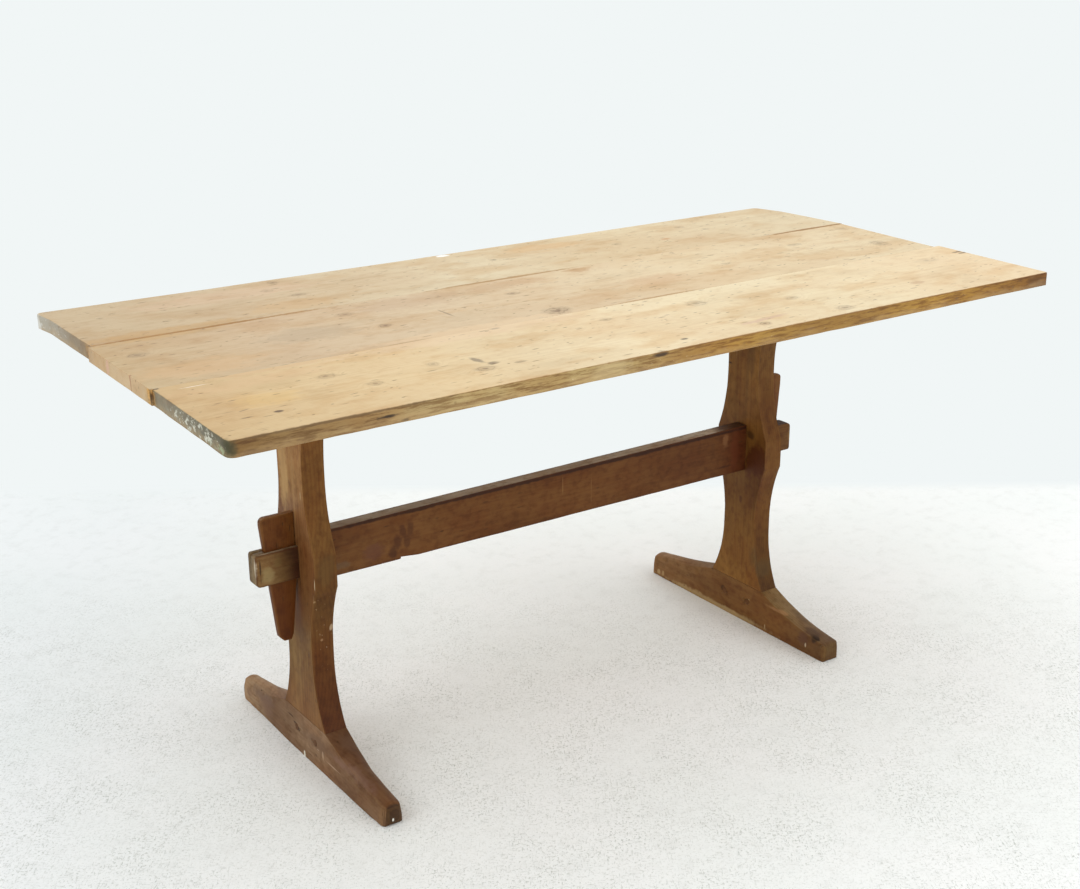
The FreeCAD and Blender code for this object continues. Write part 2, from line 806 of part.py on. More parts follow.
def build(doc):
    make_sheet(doc)
    for end, centre in (("near", near_centre()), ("far", far_centre())):
        foot(doc, f"{end}_foot", centre)
        post(doc, f"{end}_post", end, centre)
        head_rail(doc, f"{end}_head_rail", centre)
        cross_pegs(doc, f"{end}_foot_pegs", centre, size("foot_peg_height"))
        cross_pegs(doc, f"{end}_head_pegs", centre, size("head_peg_height"))
        locating_pegs(doc, f"{end}_locating_pegs", centre)
    stretcher(doc, "stretcher")
    wedge(doc, "near", near_centre() - half_board(), -1)
    wedge(doc, "far", far_centre() + half_board(), 1)
    planks(doc)
    plank_dowels(doc, "front_joint_dowels", -size("front_joint"), size("front_joint_gap"))
    plank_dowels(doc, "back_joint_dowels", size("back_joint"), size("back_joint_gap"))
    batten(doc, "near_batten", -1)
    batten(doc, "far_batten", 1)
    doc.recompute()


NODES = [
    "near_foot", "near_post", "near_head_rail", "near_foot_pegs", "near_head_pegs", "near_locating_pegs",
    "far_foot", "far_post", "far_head_rail", "far_foot_pegs", "far_head_pegs", "far_locating_pegs",
    "stretcher", "near_wedge", "far_wedge",
    "top_plank_front", "top_plank_middle", "top_plank_back",
    "front_joint_dowels", "back_joint_dowels", "near_batten", "far_batten",
]


def check(doc):
    for item in doc.Objects:
        faults = {"Invalid", "Error"} & set(item.State)
        if faults:
            raise RuntimeError(f"{item.Label}: {', '.join(sorted(faults))}")
    for node in NODES:
        shape = doc.getObjectsByLabel(node)[0].Shape
        if shape.isNull() or not shape.isValid() or shape.Volume <= 0:
            raise RuntimeError(f"{node}: no valid solid")


def export(doc):
    os.makedirs("parts", exist_ok=True)
    for node in NODES:
        shape = doc.getObjectsByLabel(node)[0].Shape
        shape.exportStep(f"parts/{node}.step")
        box = shape.BoundBox
        print(f"{node}: {len(shape.Solids)} solid(s), {shape.Volume / 1000:.1f} cm3, "
              f"x {box.XMin:.1f}..{box.XMax:.1f} y {box.YMin:.1f}..{box.YMax:.1f} "
              f"z {box.ZMin:.1f}..{box.ZMax:.1f}")


document = FreeCAD.newDocument("trestle_table")
build(document)
check(document)
export(document)
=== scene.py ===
import bpy
import bmesh
import math
from mathutils import Matrix, Vector, noise


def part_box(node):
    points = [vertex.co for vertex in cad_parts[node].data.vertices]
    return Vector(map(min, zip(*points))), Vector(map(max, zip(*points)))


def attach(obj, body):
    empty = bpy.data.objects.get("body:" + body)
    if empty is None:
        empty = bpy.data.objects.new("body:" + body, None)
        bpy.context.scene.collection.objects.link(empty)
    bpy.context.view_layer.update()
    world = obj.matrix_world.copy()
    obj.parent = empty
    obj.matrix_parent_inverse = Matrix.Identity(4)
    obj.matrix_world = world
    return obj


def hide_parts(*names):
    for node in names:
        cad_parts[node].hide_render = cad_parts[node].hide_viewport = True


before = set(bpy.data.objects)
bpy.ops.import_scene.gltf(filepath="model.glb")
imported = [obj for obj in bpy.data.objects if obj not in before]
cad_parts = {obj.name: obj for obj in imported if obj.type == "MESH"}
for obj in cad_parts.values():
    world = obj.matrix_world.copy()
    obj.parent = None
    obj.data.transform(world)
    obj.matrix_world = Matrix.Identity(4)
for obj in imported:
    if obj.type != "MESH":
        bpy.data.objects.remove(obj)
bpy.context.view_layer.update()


def shade(code):
    # a colour's code to the linear values that a shader takes
    linear = []
    for start in (0, 2, 4):
        part = int(code[start:start + 2], 16) / 255
        linear.append(part / 12.92 if part <= 0.04045 else ((part + 0.055) / 1.055) ** 2.4)
    return (*linear, 1.0)


# small helpers for node trees

def plug(tree, socket, value):
    if isinstance(value, bpy.types.NodeSocket):
        tree.links.new(value, socket)
    elif hasattr(socket, "default_value"):
        socket.default_value = value


def put(tree, kind, inputs=None, **settings):
    made = tree.nodes.new("ShaderNode" + kind)
    for name, value in settings.items():
        setattr(made, name, value)
    for key, value in (inputs or {}).items():
        plug(tree, made.inputs[key], value)
    return made


def calc(tree, operation, *values, clamp=False):
    inputs = dict(enumerate(values))
    return put(tree, "Math", inputs, operation=operation, use_clamp=clamp).outputs[0]


def mixColour(tree, amount, first, second, mode="MIX"):
    inputs = {0: amount, 6: first, 7: second}
    return put(tree, "Mix", inputs, data_type="RGBA", blend_type=mode).outputs[2]


def span(tree, value, low, high, toLow=0.0, toHigh=1.0, smooth=True):
    inputs = {0: value, 1: low, 2: high, 3: toLow, 4: toHigh}
    style = "SMOOTHSTEP" if smooth else "LINEAR"
    return put(tree, "MapRange", inputs, interpolation_type=style, clamp=True).outputs[0]


def ramp(tree, value, stops):
    made = put(tree, "ValToRGB", {0: value})
    elements = made.color_ramp.elements
    while len(elements) < len(stops):
        elements.new(0.5)
    for element, (place, colour) in zip(elements, stops):
        element.position = place
        element.color = colour
    return made.outputs[0]


def cloud(tree, coords, scale, detail=2.0, rough=0.5, shift=(0, 0, 0)):
    inputs = {"Vector": coords, "Scale": scale, "Location": shift}
    vector = put(tree, "Mapping", inputs).outputs[0]
    inputs = {"Vector": vector, "Scale": 1.0, "Detail": detail, "Roughness": rough}
    return put(tree, "TexNoise", inputs).outputs[0]


def stray(tree, value, wander, amount):
    # a noise that runs from 0 to 1 moves a value both ways
    return calc(tree, "MULTIPLY_ADD", calc(tree, "SUBTRACT", wander, 0.5), amount, value)


def spread(tree, coords, centre, radii, turn=0.0):
    # distance from a centre, 1 at the rim of an ellipsoid with these radii
    inputs = {"Vector": coords, "Location": centre, "Rotation": (0, 0, turn), "Scale": radii}
    local = put(tree, "Mapping", inputs, vector_type="TEXTURE").outputs[0]
    return put(tree, "VectorMath", {0: local}, operation="LENGTH").outputs["Value"]


def ticks(tree, coords, scale, turn, share, size):
    # short dashes: some cells of a scattered grid hold one, each with a strength of its own
    shift = (size * 40, turn * 9, share * 30)  # keeps the sets of dashes apart
    inputs = {"Vector": coords, "Scale": scale, "Rotation": (0, 0, turn), "Location": shift}
    vector = put(tree, "Mapping", inputs).outputs[0]
    cells = put(tree, "TexVoronoi", {"Vector": vector, "Scale": 1.0}, voronoi_dimensions="3D")
    chance = put(tree, "SeparateColor", {0: cells.outputs["Color"]}).outputs
    near = span(tree, cells.outputs["Distance"], size * 0.4, size, 1.0, 0.0)
    kept = calc(tree, "MULTIPLY", calc(tree, "LESS_THAN", chance[0], share), chance[1])
    return calc(tree, "MULTIPLY", near, kept)


def crumbs(tree, coords, scale, low):
    # small irregular spots, where a noise passes a level
    rim = 0.04
    return span(tree, cloud(tree, coords, scale, 4.0, 0.7, (7, 3, 5)), low, low + rim)


def lettersOf(face):
    # "-X" gives the axis letter and the sign of a face's direction
    return face[1], -1.0 if face[0] == "-" else 1.0


# wood

grainOrder = {  # along, across and through the board
    "x": "XYZ",
    "y": "YZX",
    "z": "ZYX",
    "stretcher": "XZY",
}
knotShape = {  # reaches are in radii of the knot
    "pushReach": 3.4,
    "push": 1.5,
    "ragged": 1.2,
    "wander": 1.3,
    "broken": (0.35, 0.6, 0.5, 1.0),
    "profile": (  # reach and darkness, from the heart out
        (0.0, 1.0), (0.3, 0.9), (0.5, 0.42), (0.85, 0.34), (0.98, 0.75), (1.15, 0.28), (1.7, 0.0),
    ),
}
ringShape = {
    "wander": 0.12,  # metres that the heart strays
    "wobble": 0.012,
    "darkens": (0.35, 0.86),  # shares of one year's ring
    "ends": (0.9, 1.0),
}
finish = {
    "sideStart": (0.45, 0.78),  # how far a face must turn to show its own tone
    "markRagged": (1.3, 0.8),
    "markRim": (0.45, 1.1),
    "streaks": (0.4, 0.75),
    "fibres": (0.5, 0.8),
    "edgeFacing": (0.3, 0.8),
    "edgeLines": (0.42, 0.62),
    "grime": (0.5, 0.72),
    "worn": (0.4, 1.0),
    "wornRagged": 1.9,
    "bumpDepth": 0.0008,  # metres
}


class Board:
    # The coordinates and the noises that all layers of one board's finish share.

    def __init__(self, name, look):
        self.material = bpy.data.materials.new(name)
        self.material.use_nodes = True
        tree = self.tree = self.material.node_tree
        tree.nodes.clear()
        self.look = look
        self.place = put(tree, "TexCoord").outputs["Object"]
        self.axes = put(tree, "SeparateXYZ", {0: self.place}).outputs
        order = grainOrder[look["grain"]]
        self.along = order[0]
        inputs = {index: self.axes[letter] for index, letter in enumerate(order)}
        grain = put(tree, "CombineXYZ", inputs).outputs[0]
        seed = look.get("seed", 0.0)
        shift = (seed, seed * 0.7, seed * 1.3)
        self.grain = put(tree, "VectorMath", {0: grain, 1: shift}, operation="ADD").outputs[0]
        self.sides = put(tree, "SeparateXYZ", {0: grain}).outputs
        self.patch = cloud(tree, self.grain, (3.0, 7.5, 7.5), 3.0, 0.55)
        self.soft = cloud(tree, self.grain, (16, 34, 34), 4.0, 0.65)
        self.rough = cloud(tree, self.grain, (95, 95, 95), 2.0)
        self.streak = cloud(tree, self.grain, (2.4, 150, 150), 3.0, 0.6)
        self.fibre = cloud(tree, self.grain, (16, 700, 700), 2.0, 0.6)
        normal = put(tree, "NewGeometry").outputs["Normal"]
        self.facing = put(tree, "SeparateXYZ", {0: normal}).outputs

    def reach(self, centre, radii, depth, *turn):
        # how far places are from a spot, whose two numbers lie in the board's main face
        if len(centre) == 2:
            letter, level = self.look["face"]
            across = "XYZ".index(letter)
            centre = (*centre[:across], level, *centre[across:])
            radii = (*radii[:across], depth, *radii[across:])
        return spread(self.tree, self.place, centre, radii, *turn)

    def toneAlong(self, letter, stops):
        # a colour that changes along one axis, from stops of place and colour
        first, last = stops[0][0], stops[-1][0]
        place = stray(self.tree, self.axes[letter], self.patch, 0.25 * min(0.3, last - first))
        share = span(self.tree, place, first, last, smooth=False)
        colours = [((at - first) / (last - first), shade(tone)) for at, tone in stops]
        return ramp(self.tree, share, colours)

    def tones(self):
        # the plain colour of every side of the board
        tree = self.tree
        colour = self.toneAlong(self.along, self.look["tone"])
        for face, stops in self.look.get("faceTones", {}).items():
            letter, sign = lettersOf(face)
            side = calc(tree, "MULTIPLY", self.facing[letter], sign)
            ragged = stray(tree, side, self.soft, 0.5)
            along = self.along if letter != self.along else "Y"
            turned = span(tree, ragged, *finish["sideStart"])
            colour = mixColour(tree, turned, colour, self.toneAlong(along, stops))
        return colour

    def knots(self):
        # how dark the knots are, from heart to rim, and how they push the rings aside
        tree, dark, push = self.tree, 0.0, 0.0
        broken = span(tree, self.soft, *knotShape["broken"])
        profile = [(place / 2, (level, level, level, 1.0)) for place, level in knotShape["profile"]]
        for centre, radii, strength in self.look.get("knots", []):
            reach = self.reach(centre, radii, self.look["knotDepth"])
            aside = span(tree, reach, 0.0, knotShape["pushReach"], radii[0] * knotShape["push"], 0.0)
            push = calc(tree, "ADD", push, aside)
            reach = stray(tree, reach, self.soft, knotShape["wander"])
            reach = stray(tree, reach, self.rough, knotShape["ragged"])
            depth = ramp(tree, calc(tree, "MULTIPLY", reach, 0.5), profile)
            depth = calc(tree, "MULTIPLY", depth, calc(tree, "MULTIPLY", broken, strength))
            dark = calc(tree, "MAXIMUM", dark, depth)
        return dark, push

    def rings(self, push):
        # growth rings round a pith that lies outside the board
        tree, look = self.tree, self.look
        wander = cloud(tree, self.grain, (0.9, 1.2, 1.2), 1.0)
        wobble = cloud(tree, self.grain, (2.6, 9.0, 9.0), 2.0)
        pithAcross, pithDeep = look["pith"]
        across = calc(tree, "SUBTRACT", self.sides[1], pithAcross)
        across = stray(tree, across, wander, ringShape["wander"])
        deep = calc(tree, "SUBTRACT", self.sides[2], pithDeep)
        square = calc(tree, "MULTIPLY_ADD", across, across, calc(tree, "MULTIPLY", deep, deep))
        radius = calc(tree, "MULTIPLY_ADD", wobble, ringShape["wobble"], calc(tree, "SQRT", square))
        radius = calc(tree, "ADD", radius, push)
        phase = calc(tree, "FRACT", calc(tree, "DIVIDE", radius, look["ring"]))
        darker = span(tree, phase, *ringShape["darkens"])
        return calc(tree, "MULTIPLY", darker, span(tree, phase, *ringShape["ends"], 1.0, 0.0))

    def stain(self, colour, mask, tone):
        # darkens a colour where the mask is
        return mixColour(self.tree, mask, colour, shade(tone), "MULTIPLY")

    def cover(self, colour, mask, tone):
        # puts a colour over another where the mask is
        return mixColour(self.tree, mask, colour, shade(tone))


def woodMaterial(name, look):
    board = Board(name, look)
    tree = board.tree
    knotDark, push = board.knots()
    late = board.rings(push)
    colour = board.tones()
    for scale, low, high, tone, strength in look["clouds"]:
        patches = cloud(tree, board.grain, scale, 4.0, 0.6)
        colour = board.stain(colour, span(tree, patches, low, high, 0.0, strength), tone)
    colour = board.stain(colour, calc(tree, "MULTIPLY", late, look["ringDepth"]), look["late"])
    streaks = span(tree, board.streak, *finish["streaks"], 0.0, look["streak"])
    colour = board.stain(colour, streaks, look["late"])
    fibres = span(tree, board.fibre, *finish["fibres"], 0.0, look["fibre"])
    colour = board.stain(colour, fibres, look["late"])
    if look.get("edgeStreak"):
        facing = calc(tree, "ABSOLUTE", board.facing["Y"])
        edge = span(tree, facing, *finish["edgeFacing"], 0.0, look["edgeStreak"])
        lines = cloud(tree, board.grain, (24.0, 230.0, 230.0), 5.0, 0.7, (2, 9, 4))
        lines = span(tree, lines, *finish["edgeLines"])
        colour = board.stain(colour, calc(tree, "MULTIPLY", lines, edge), look["edgeTint"])
    softRagged, roughRagged = finish["markRagged"]
    for centre, radii, tone, strength, *turn in look.get("marks", []):
        reach = board.reach(centre, radii, look["markDepth"], *turn)
        reach = stray(tree, reach, board.soft, softRagged)
        reach = stray(tree, reach, board.rough, roughRagged)
        colour = board.cover(colour, span(tree, reach, *finish["markRim"], strength, 0.0), tone)
    colour = board.cover(colour, knotDark, look["knotHeart"])

    pits = 0.0
    for scale, turn, share, size in look["dents"]:
        pits = calc(tree, "MAXIMUM", pits, ticks(tree, board.grain, scale, turn, share, size))
    colour = board.cover(colour, calc(tree, "MULTIPLY", pits, look["dentDepth"]), look["dirt"])
    grime = cloud(tree, board.grain, (6.0, 13.0, 13.0), 4.0, 0.6, (5, 2, 1))
    dirty = span(tree, grime, *finish["grime"], 0.0, look["grime"])
    colour = board.cover(colour, dirty, look["dirt"])
    wear = put(tree, "Attribute", attribute_name="wear").outputs["Fac"]
    worn = stray(tree, wear, board.soft, finish["wornRagged"])
    worn = span(tree, worn, *finish["worn"], 0.0, look["wear"])
    colour = board.cover(colour, worn, look["wornTint"])
    for centre, radii, scale, low, tone in look.get("flakes", []):
        inside = span(tree, spread(tree, board.place, centre, radii), 0.6, 1.0, 1.0, 0.0)
        spots = calc(tree, "MULTIPLY", crumbs(tree, board.grain, scale, low), inside)
        colour = board.cover(colour, spots, tone)

    height = calc(tree, "MULTIPLY_ADD", board.fibre, 0.45, calc(tree, "MULTIPLY", board.streak, 0.6))
    height = calc(tree, "MULTIPLY_ADD", pits, -0.9, height)
    height = calc(tree, "MULTIPLY_ADD", board.soft, 0.5, height)
    bump = put(tree, "Bump", {"Height": height})
    bump.inputs["Strength"].default_value = look["bump"]
    bump.inputs["Distance"].default_value = finish["bumpDepth"]
    sheen = calc(tree, "MULTIPLY_ADD", grime, 0.25, look["rough"] - 0.12)
    shader = put(tree, "BsdfPrincipled", {
        "Base Color": colour, "Roughness": sheen, "Normal": bump.outputs[0],
    })
    shader.inputs["Specular IOR Level"].default_value = look["gloss"]
    put(tree, "OutputMaterial", {0: shader.outputs[0]})
    return board.material


# shaping

shaping = {
    "mergeWidth": 0.00001,  # metres
    "cutWidth": 0.00002,
    "flatTurn": 0.4,  # degrees
    "sharpTurn": 28,
    "shadeTurn": 32,
}
weathering = {
    "across": 28.0,  # ripples, as a scale of noise
    "along": 9.0,
    "chips": 3.1,
    "chipStart": 0.1,
    "leastLoss": 0.25,
    "chipLoss": 1.6,
}


def cadCopy(node):
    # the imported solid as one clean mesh, its triangles joined into flat faces
    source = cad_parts[node]
    shape = bmesh.new()
    shape.from_mesh(source.data)
    shape.transform(source.matrix_world)
    bmesh.ops.remove_doubles(shape, verts=shape.verts, dist=shaping["mergeWidth"])
    bmesh.ops.dissolve_limit(
        shape, angle_limit=math.radians(shaping["flatTurn"]), use_dissolve_boundaries=False,
        verts=shape.verts, edges=shape.edges, delimit=set(),
    )
    return shape


def ringFaces(shape, axis, inset, least):
    # a loop of narrow faces inside the rim of each broad face, to hold the arris
    broad = [f for f in shape.faces if abs(f.normal[axis]) > 0.99 and f.calc_area() > least]
    bmesh.ops.inset_region(shape, faces=broad, thickness=inset, use_even_offset=True, use_boundary=True)


def slices(shape, axis, places):
    normal = Vector((0, 0, 0))
    normal[axis] = 1.0
    for place in places:
        every = shape.verts[:] + shape.edges[:] + shape.faces[:]
        bmesh.ops.bisect_plane(
            shape, geom=every, plane_co=normal * place, plane_no=normal, dist=shaping["cutWidth"],
        )


def between(low, high, step):
    count = max(1, round((high - low) / step))
    return [low + (high - low) * index / count for index in range(1, count)]


def wearLayer(shape):
    return shape.verts.layers.float.get("wear") or shape.verts.layers.float.new("wear")


def easeArrises(shape, width, segments, skip=None):
    # rounds every sharp outer edge and notes it in the wear layer
    layer = wearLayer(shape)
    shape.normal_update()
    least = math.radians(shaping["sharpTurn"])
    sharp = []
    for edge in shape.edges:
        if len(edge.link_faces) != 2 or not edge.is_convex:
            continue
        if edge.calc_face_angle(0) > least and not (skip and skip(edge)):
            sharp.append(edge)
    made = bmesh.ops.bevel(
        shape, geom=sharp, offset=width, offset_type="OFFSET", segments=segments,
        profile=0.5, affect="EDGES", clamp_overlap=True, material=-1,
    )
    for vert in made["verts"]:
        vert[layer] = 1.0


def weather(shape, flat, arris, grainAxis, seed):
    # years of handling: faces sink a little in ripples along the grain, arrises lose more
    layer = wearLayer(shape)
    shape.normal_update()
    scale = [weathering["across"]] * 3
    scale[grainAxis] = weathering["along"]
    shift = Vector((seed, seed, seed))
    moves = []
    for vert in shape.verts:
        spot = Vector([part * factor for part, factor in zip(vert.co, scale)]) + shift
        ripple = noise.noise(spot)
        chip = max(0.0, noise.noise(spot * weathering["chips"]) - weathering["chipStart"])
        loss = weathering["leastLoss"] + abs(ripple) + weathering["chipLoss"] * chip
        moves.append(vert.normal * ((ripple - 1) * flat / 2 - vert[layer] * arris * loss))
    for vert, move in zip(shape.verts, moves):
        vert.co += move


def finishPiece(name, shape, material, body, nodes):
    shape.normal_update()
    mesh = bpy.data.meshes.new(name)
    shape.to_mesh(mesh)
    shape.free()
    mesh.materials.append(material)
    mesh.shade_smooth()
    mesh.set_sharp_from_angle(angle=math.radians(shaping["shadeTurn"]))
    piece = bpy.data.objects.new(name, mesh)
    bpy.context.scene.collection.objects.link(piece)
    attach(piece, body)
    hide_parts(*nodes)


def dressNode(node, material):
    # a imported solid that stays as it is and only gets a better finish
    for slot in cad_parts[node].material_slots:
        slot.material = material


# the top

topLook = {
    "grain": "x",
    "face": ("Z", 0.75),
    "knotDepth": 0.03,
    "markDepth": 0.02,
    "ring": 0.0052,
    "ringDepth": 0.14,
    "streak": 0.14,
    "fibre": 0.12,
    "late": "deceb8",
    "clouds": [
        ((2.2, 4.0, 4.0), 0.42, 0.68, "f0e2d4", 0.6),
        ((7.0, 14.0, 14.0), 0.46, 0.66, "f2e4d2", 0.7),
        ((40.0, 55.0, 55.0), 0.46, 0.72, "eee4d8", 0.45),
    ],
    "dents": [
        ((46, 260, 120), 0.05, 0.055, 0.4), ((30, 210, 120), -0.12, 0.045, 0.36),
        ((60, 230, 120), 0.8, 0.035, 0.36), ((110, 220, 120), -0.5, 0.045, 0.38),
    ],
    "dentDepth": 0.95,
    "grime": 0.1,
    "wear": 0.3,
    "rough": 0.52,
    "gloss": 0.3,
    "bump": 0.22,
    "dirt": "785834",
    "knotHeart": "6c4e32",
    "wornTint": "c4a476",
    "edgeStreak": 0.8,
    "edgeTint": "ac9270",
}
underTone = [(-0.8, "b08c5c"), (0.8, "b89668")]
jointTone = [(-0.8, "e2b46e"), (0.8, "e6ba74")]

frontPlank = {
    **topLook,
    "seed": 3.1,
    "pith": (-0.27, 0.69),
    "tone": [
        (-0.82, "ceb283"), (-0.45, "e0c79a"), (-0.28, "e1cca4"),
        (-0.1, "ecdab4"), (0.3, "ebdbb6"), (0.8, "eed8b1"),
    ],
    "faceTones": {
        "-Y": [
            (-0.82, "826132"), (-0.6, "a88c5d"), (-0.48, "bca573"),
            (-0.2, "bca26c"), (-0.06, "a68044"), (0.05, "b79144"), (0.2, "a47f3c"),
            (0.36, "a07938"), (0.52, "ba8f3c"), (0.82, "7c4c02"),
        ],
        "-X": [(-0.4, "57543d"), (-0.3, "716e5b"), (-0.14, "867a61"), (-0.12, "645038")],
        "+X": [(-0.4, "967048"), (-0.1, "a0784e")],
        "+Y": jointTone,
        "-Z": underTone,
    },
    "knots": [
        ((-0.427, -0.25), (0.008, 0.007), 0.8),
        ((-0.587, -0.212), (0.013, 0.009), 0.6),
        ((-0.545, -0.286), (0.01, 0.008), 0.65),
        ((-0.375, -0.315), (0.014, 0.01), 0.75),
        ((-0.06, -0.193), (0.01, 0.006), 0.7),
        ((0.13, -0.197), (0.015, 0.012), 0.7),
        ((0.135, -0.365), (0.01, 0.008), 0.75),
        ((0.315, -0.368), (0.013, 0.01), 0.85),
        ((0.29, -0.265), (0.011, 0.008), 0.55),
        ((0.7, -0.2), (0.02, 0.011), 0.35),
    ],
    "marks": [
        ((-0.362, -0.27), (0.007, 0.024), "867660", 0.75, 0.1),
        ((-0.352, -0.298), (0.016, 0.009), "786650", 0.75, 0.3),
        ((-0.312, -0.316), (0.012, 0.005), "968062", 0.6),
        ((-0.24, -0.133), (0.012, 0.006), "4c3a2c", 0.8),
        ((-0.715, -0.322), (0.008, 0.005), "543e2c", 0.85),
        ((-0.763, -0.322), (0.012, 0.002), "786042", 0.7),
        ((-0.752, -0.29), (0.01, 0.002), "826848", 0.6, 0.3),
        ((-0.032, -0.362), (0.009, 0.005), "46382c", 0.85),
        ((0.805, -0.183), (0.016, 0.0035), "604c3a", 0.8),
        ((0.806, -0.195), (0.013, 0.0035), "604c3a", 0.8),
        ((0.15, -0.345), (0.06, 0.008), "ceaa96", 0.5, 0.12),
        ((0.55, -0.315), (0.022, 0.01), "c49e78", 0.5),
        ((-0.763, -0.145, 0.75), (0.026, 0.0012, 0.01), "faf4e6", 0.8),
        ((-0.68, -0.17), (0.15, 0.03), "d6b086", 0.3),
        ((-0.7, -0.26), (0.06, 0.04), "e2be78", 0.35),
        ((-0.108, -0.396, 0.746), (0.02, 0.01, 0.005), "3c2e22", 0.85),
        ((-0.205, -0.399, 0.737), (0.046, 0.01, 0.03), "ceb88a", 0.4),
        ((0.2, -0.399, 0.7492), (0.9, 0.004, 0.002), "8c6232", 0.7),
        ((-0.585, -0.398, 0.738), (0.022, 0.01, 0.003), "30241a", 0.9),
        ((-0.56, -0.398, 0.728), (0.01, 0.01, 0.003), "30241a", 0.9),
        ((0.775, -0.398, 0.74), (0.03, 0.012, 0.007), "643e06", 0.8),
        ((-0.65, -0.399, 0.749), (0.26, 0.005, 0.003), "705636", 0.8),
        ((-0.822, -0.388, 0.736), (0.012, 0.016, 0.018), "44422a", 0.85),
        ((-0.3, -0.135), (0.26, 0.036), "e2c6a2", 0.6),
        ((-0.64, -0.13), (0.12, 0.012), "ceaa7e", 0.5),
        # painted shadow: the dark gap at the left end where the front plank meets the middle one
        ((-0.814, -0.1245, 0.742), (0.006, 0.006, 0.02), "463222", 0.9),
    ],
    "flakes": [
        ((-0.826, -0.27, 0.737), (0.012, 0.13, 0.016), (100, 100, 130), 0.54, "c6c4b2"),
        ((-0.826, -0.36, 0.73), (0.012, 0.035, 0.012), (90, 90, 90), 0.52, "969c78"),
        ((-0.1, -0.398, 0.732), (0.5, 0.01, 0.01), (60, 300, 300), 0.66, "ceba92"),
        ((0.5, -0.398, 0.734), (0.3, 0.01, 0.012), (60, 300, 300), 0.68, "c8b084"),
    ],
}

middlePlank = {
    **topLook,
    "seed": 7.7,
    "pith": (0.03, 0.7),
    "tone": [
        (-0.82, "c7b088"), (-0.55, "cfb795"), (-0.1, "dbc6a3"),
        (0.3, "e4d0aa"), (0.8, "e5d2ad"),
    ],
    "faceTones": {
        "-X": [
            (-0.12, "c4a880"), (-0.02, "d0b68e"), (0.02, "ccb28a"), (0.12, "c4a67a"),
        ],
        "+X": [(-0.1, "a47e54"), (0.1, "a88258")],
        "+Y": jointTone,
        "-Y": jointTone,
        "-Z": underTone,
    },
    "knots": [
        ((-0.092, -0.098), (0.02, 0.016), 0.95),
        ((-0.77, 0.058), (0.013, 0.01), 0.8),
        ((-0.375, -0.012), (0.01, 0.008), 0.8),
        ((-0.085, 0.047), (0.01, 0.007), 0.95),
        ((0.375, 0.005), (0.009, 0.006), 0.45),
        ((0.595, 0.053), (0.013, 0.007), 0.5),
        ((0.742, -0.037), (0.013, 0.017), 0.75),
        ((0.785, 0.11), (0.012, 0.01), 0.45),
        ((-0.395, 0.09), (0.012, 0.01), 0.55),
    ],
    "marks": [
        ((-0.5, 0.015), (0.1, 0.05), "b29c7e", 0.5),
        ((-0.26, 0.1), (0.15, 0.05), "be9e7c", 0.45),
        ((-0.06, 0.11), (0.1, 0.035), "c4a078", 0.45),
        ((0.12, 0.128), (0.034, 0.018), "b6864c", 0.6),
        ((-0.65, 0.149), (0.27, 0.0055), "a0702c", 0.9),
        ((-0.7, 0.138), (0.14, 0.012), "c49e64", 0.5),
        ((-0.02, 0.149), (0.17, 0.0055), "a87c42", 0.75),
        ((0.74, 0.149), (0.13, 0.005), "9e7034", 0.9),
        ((-0.25, -0.112), (0.26, 0.02), "e4c8a0", 0.5),
        ((0.1, -0.1215), (0.13, 0.0045), "ac7e46", 0.7),
        ((-0.4, -0.1215), (0.05, 0.003), "a07c4e", 0.5),
        ((-0.252, 0.0), (0.0025, 0.034), "826c54", 0.6),
        ((0.18, -0.02), (0.09, 0.04), "d0aa80", 0.45),
        ((-0.72, -0.06), (0.13, 0.05), "d8b282", 0.35),
        ((-0.819, -0.04, 0.737), (0.004, 0.003, 0.03), "965434", 0.8),
        ((-0.819, 0.06, 0.737), (0.006, 0.01, 0.02), "d4a896", 0.5),
        # painted shadow: the dark gap at the left end where the middle plank meets the front one
        ((-0.8205, -0.1225, 0.738), (0.006, 0.003, 0.02), "402e1e", 0.9),
    ],
}

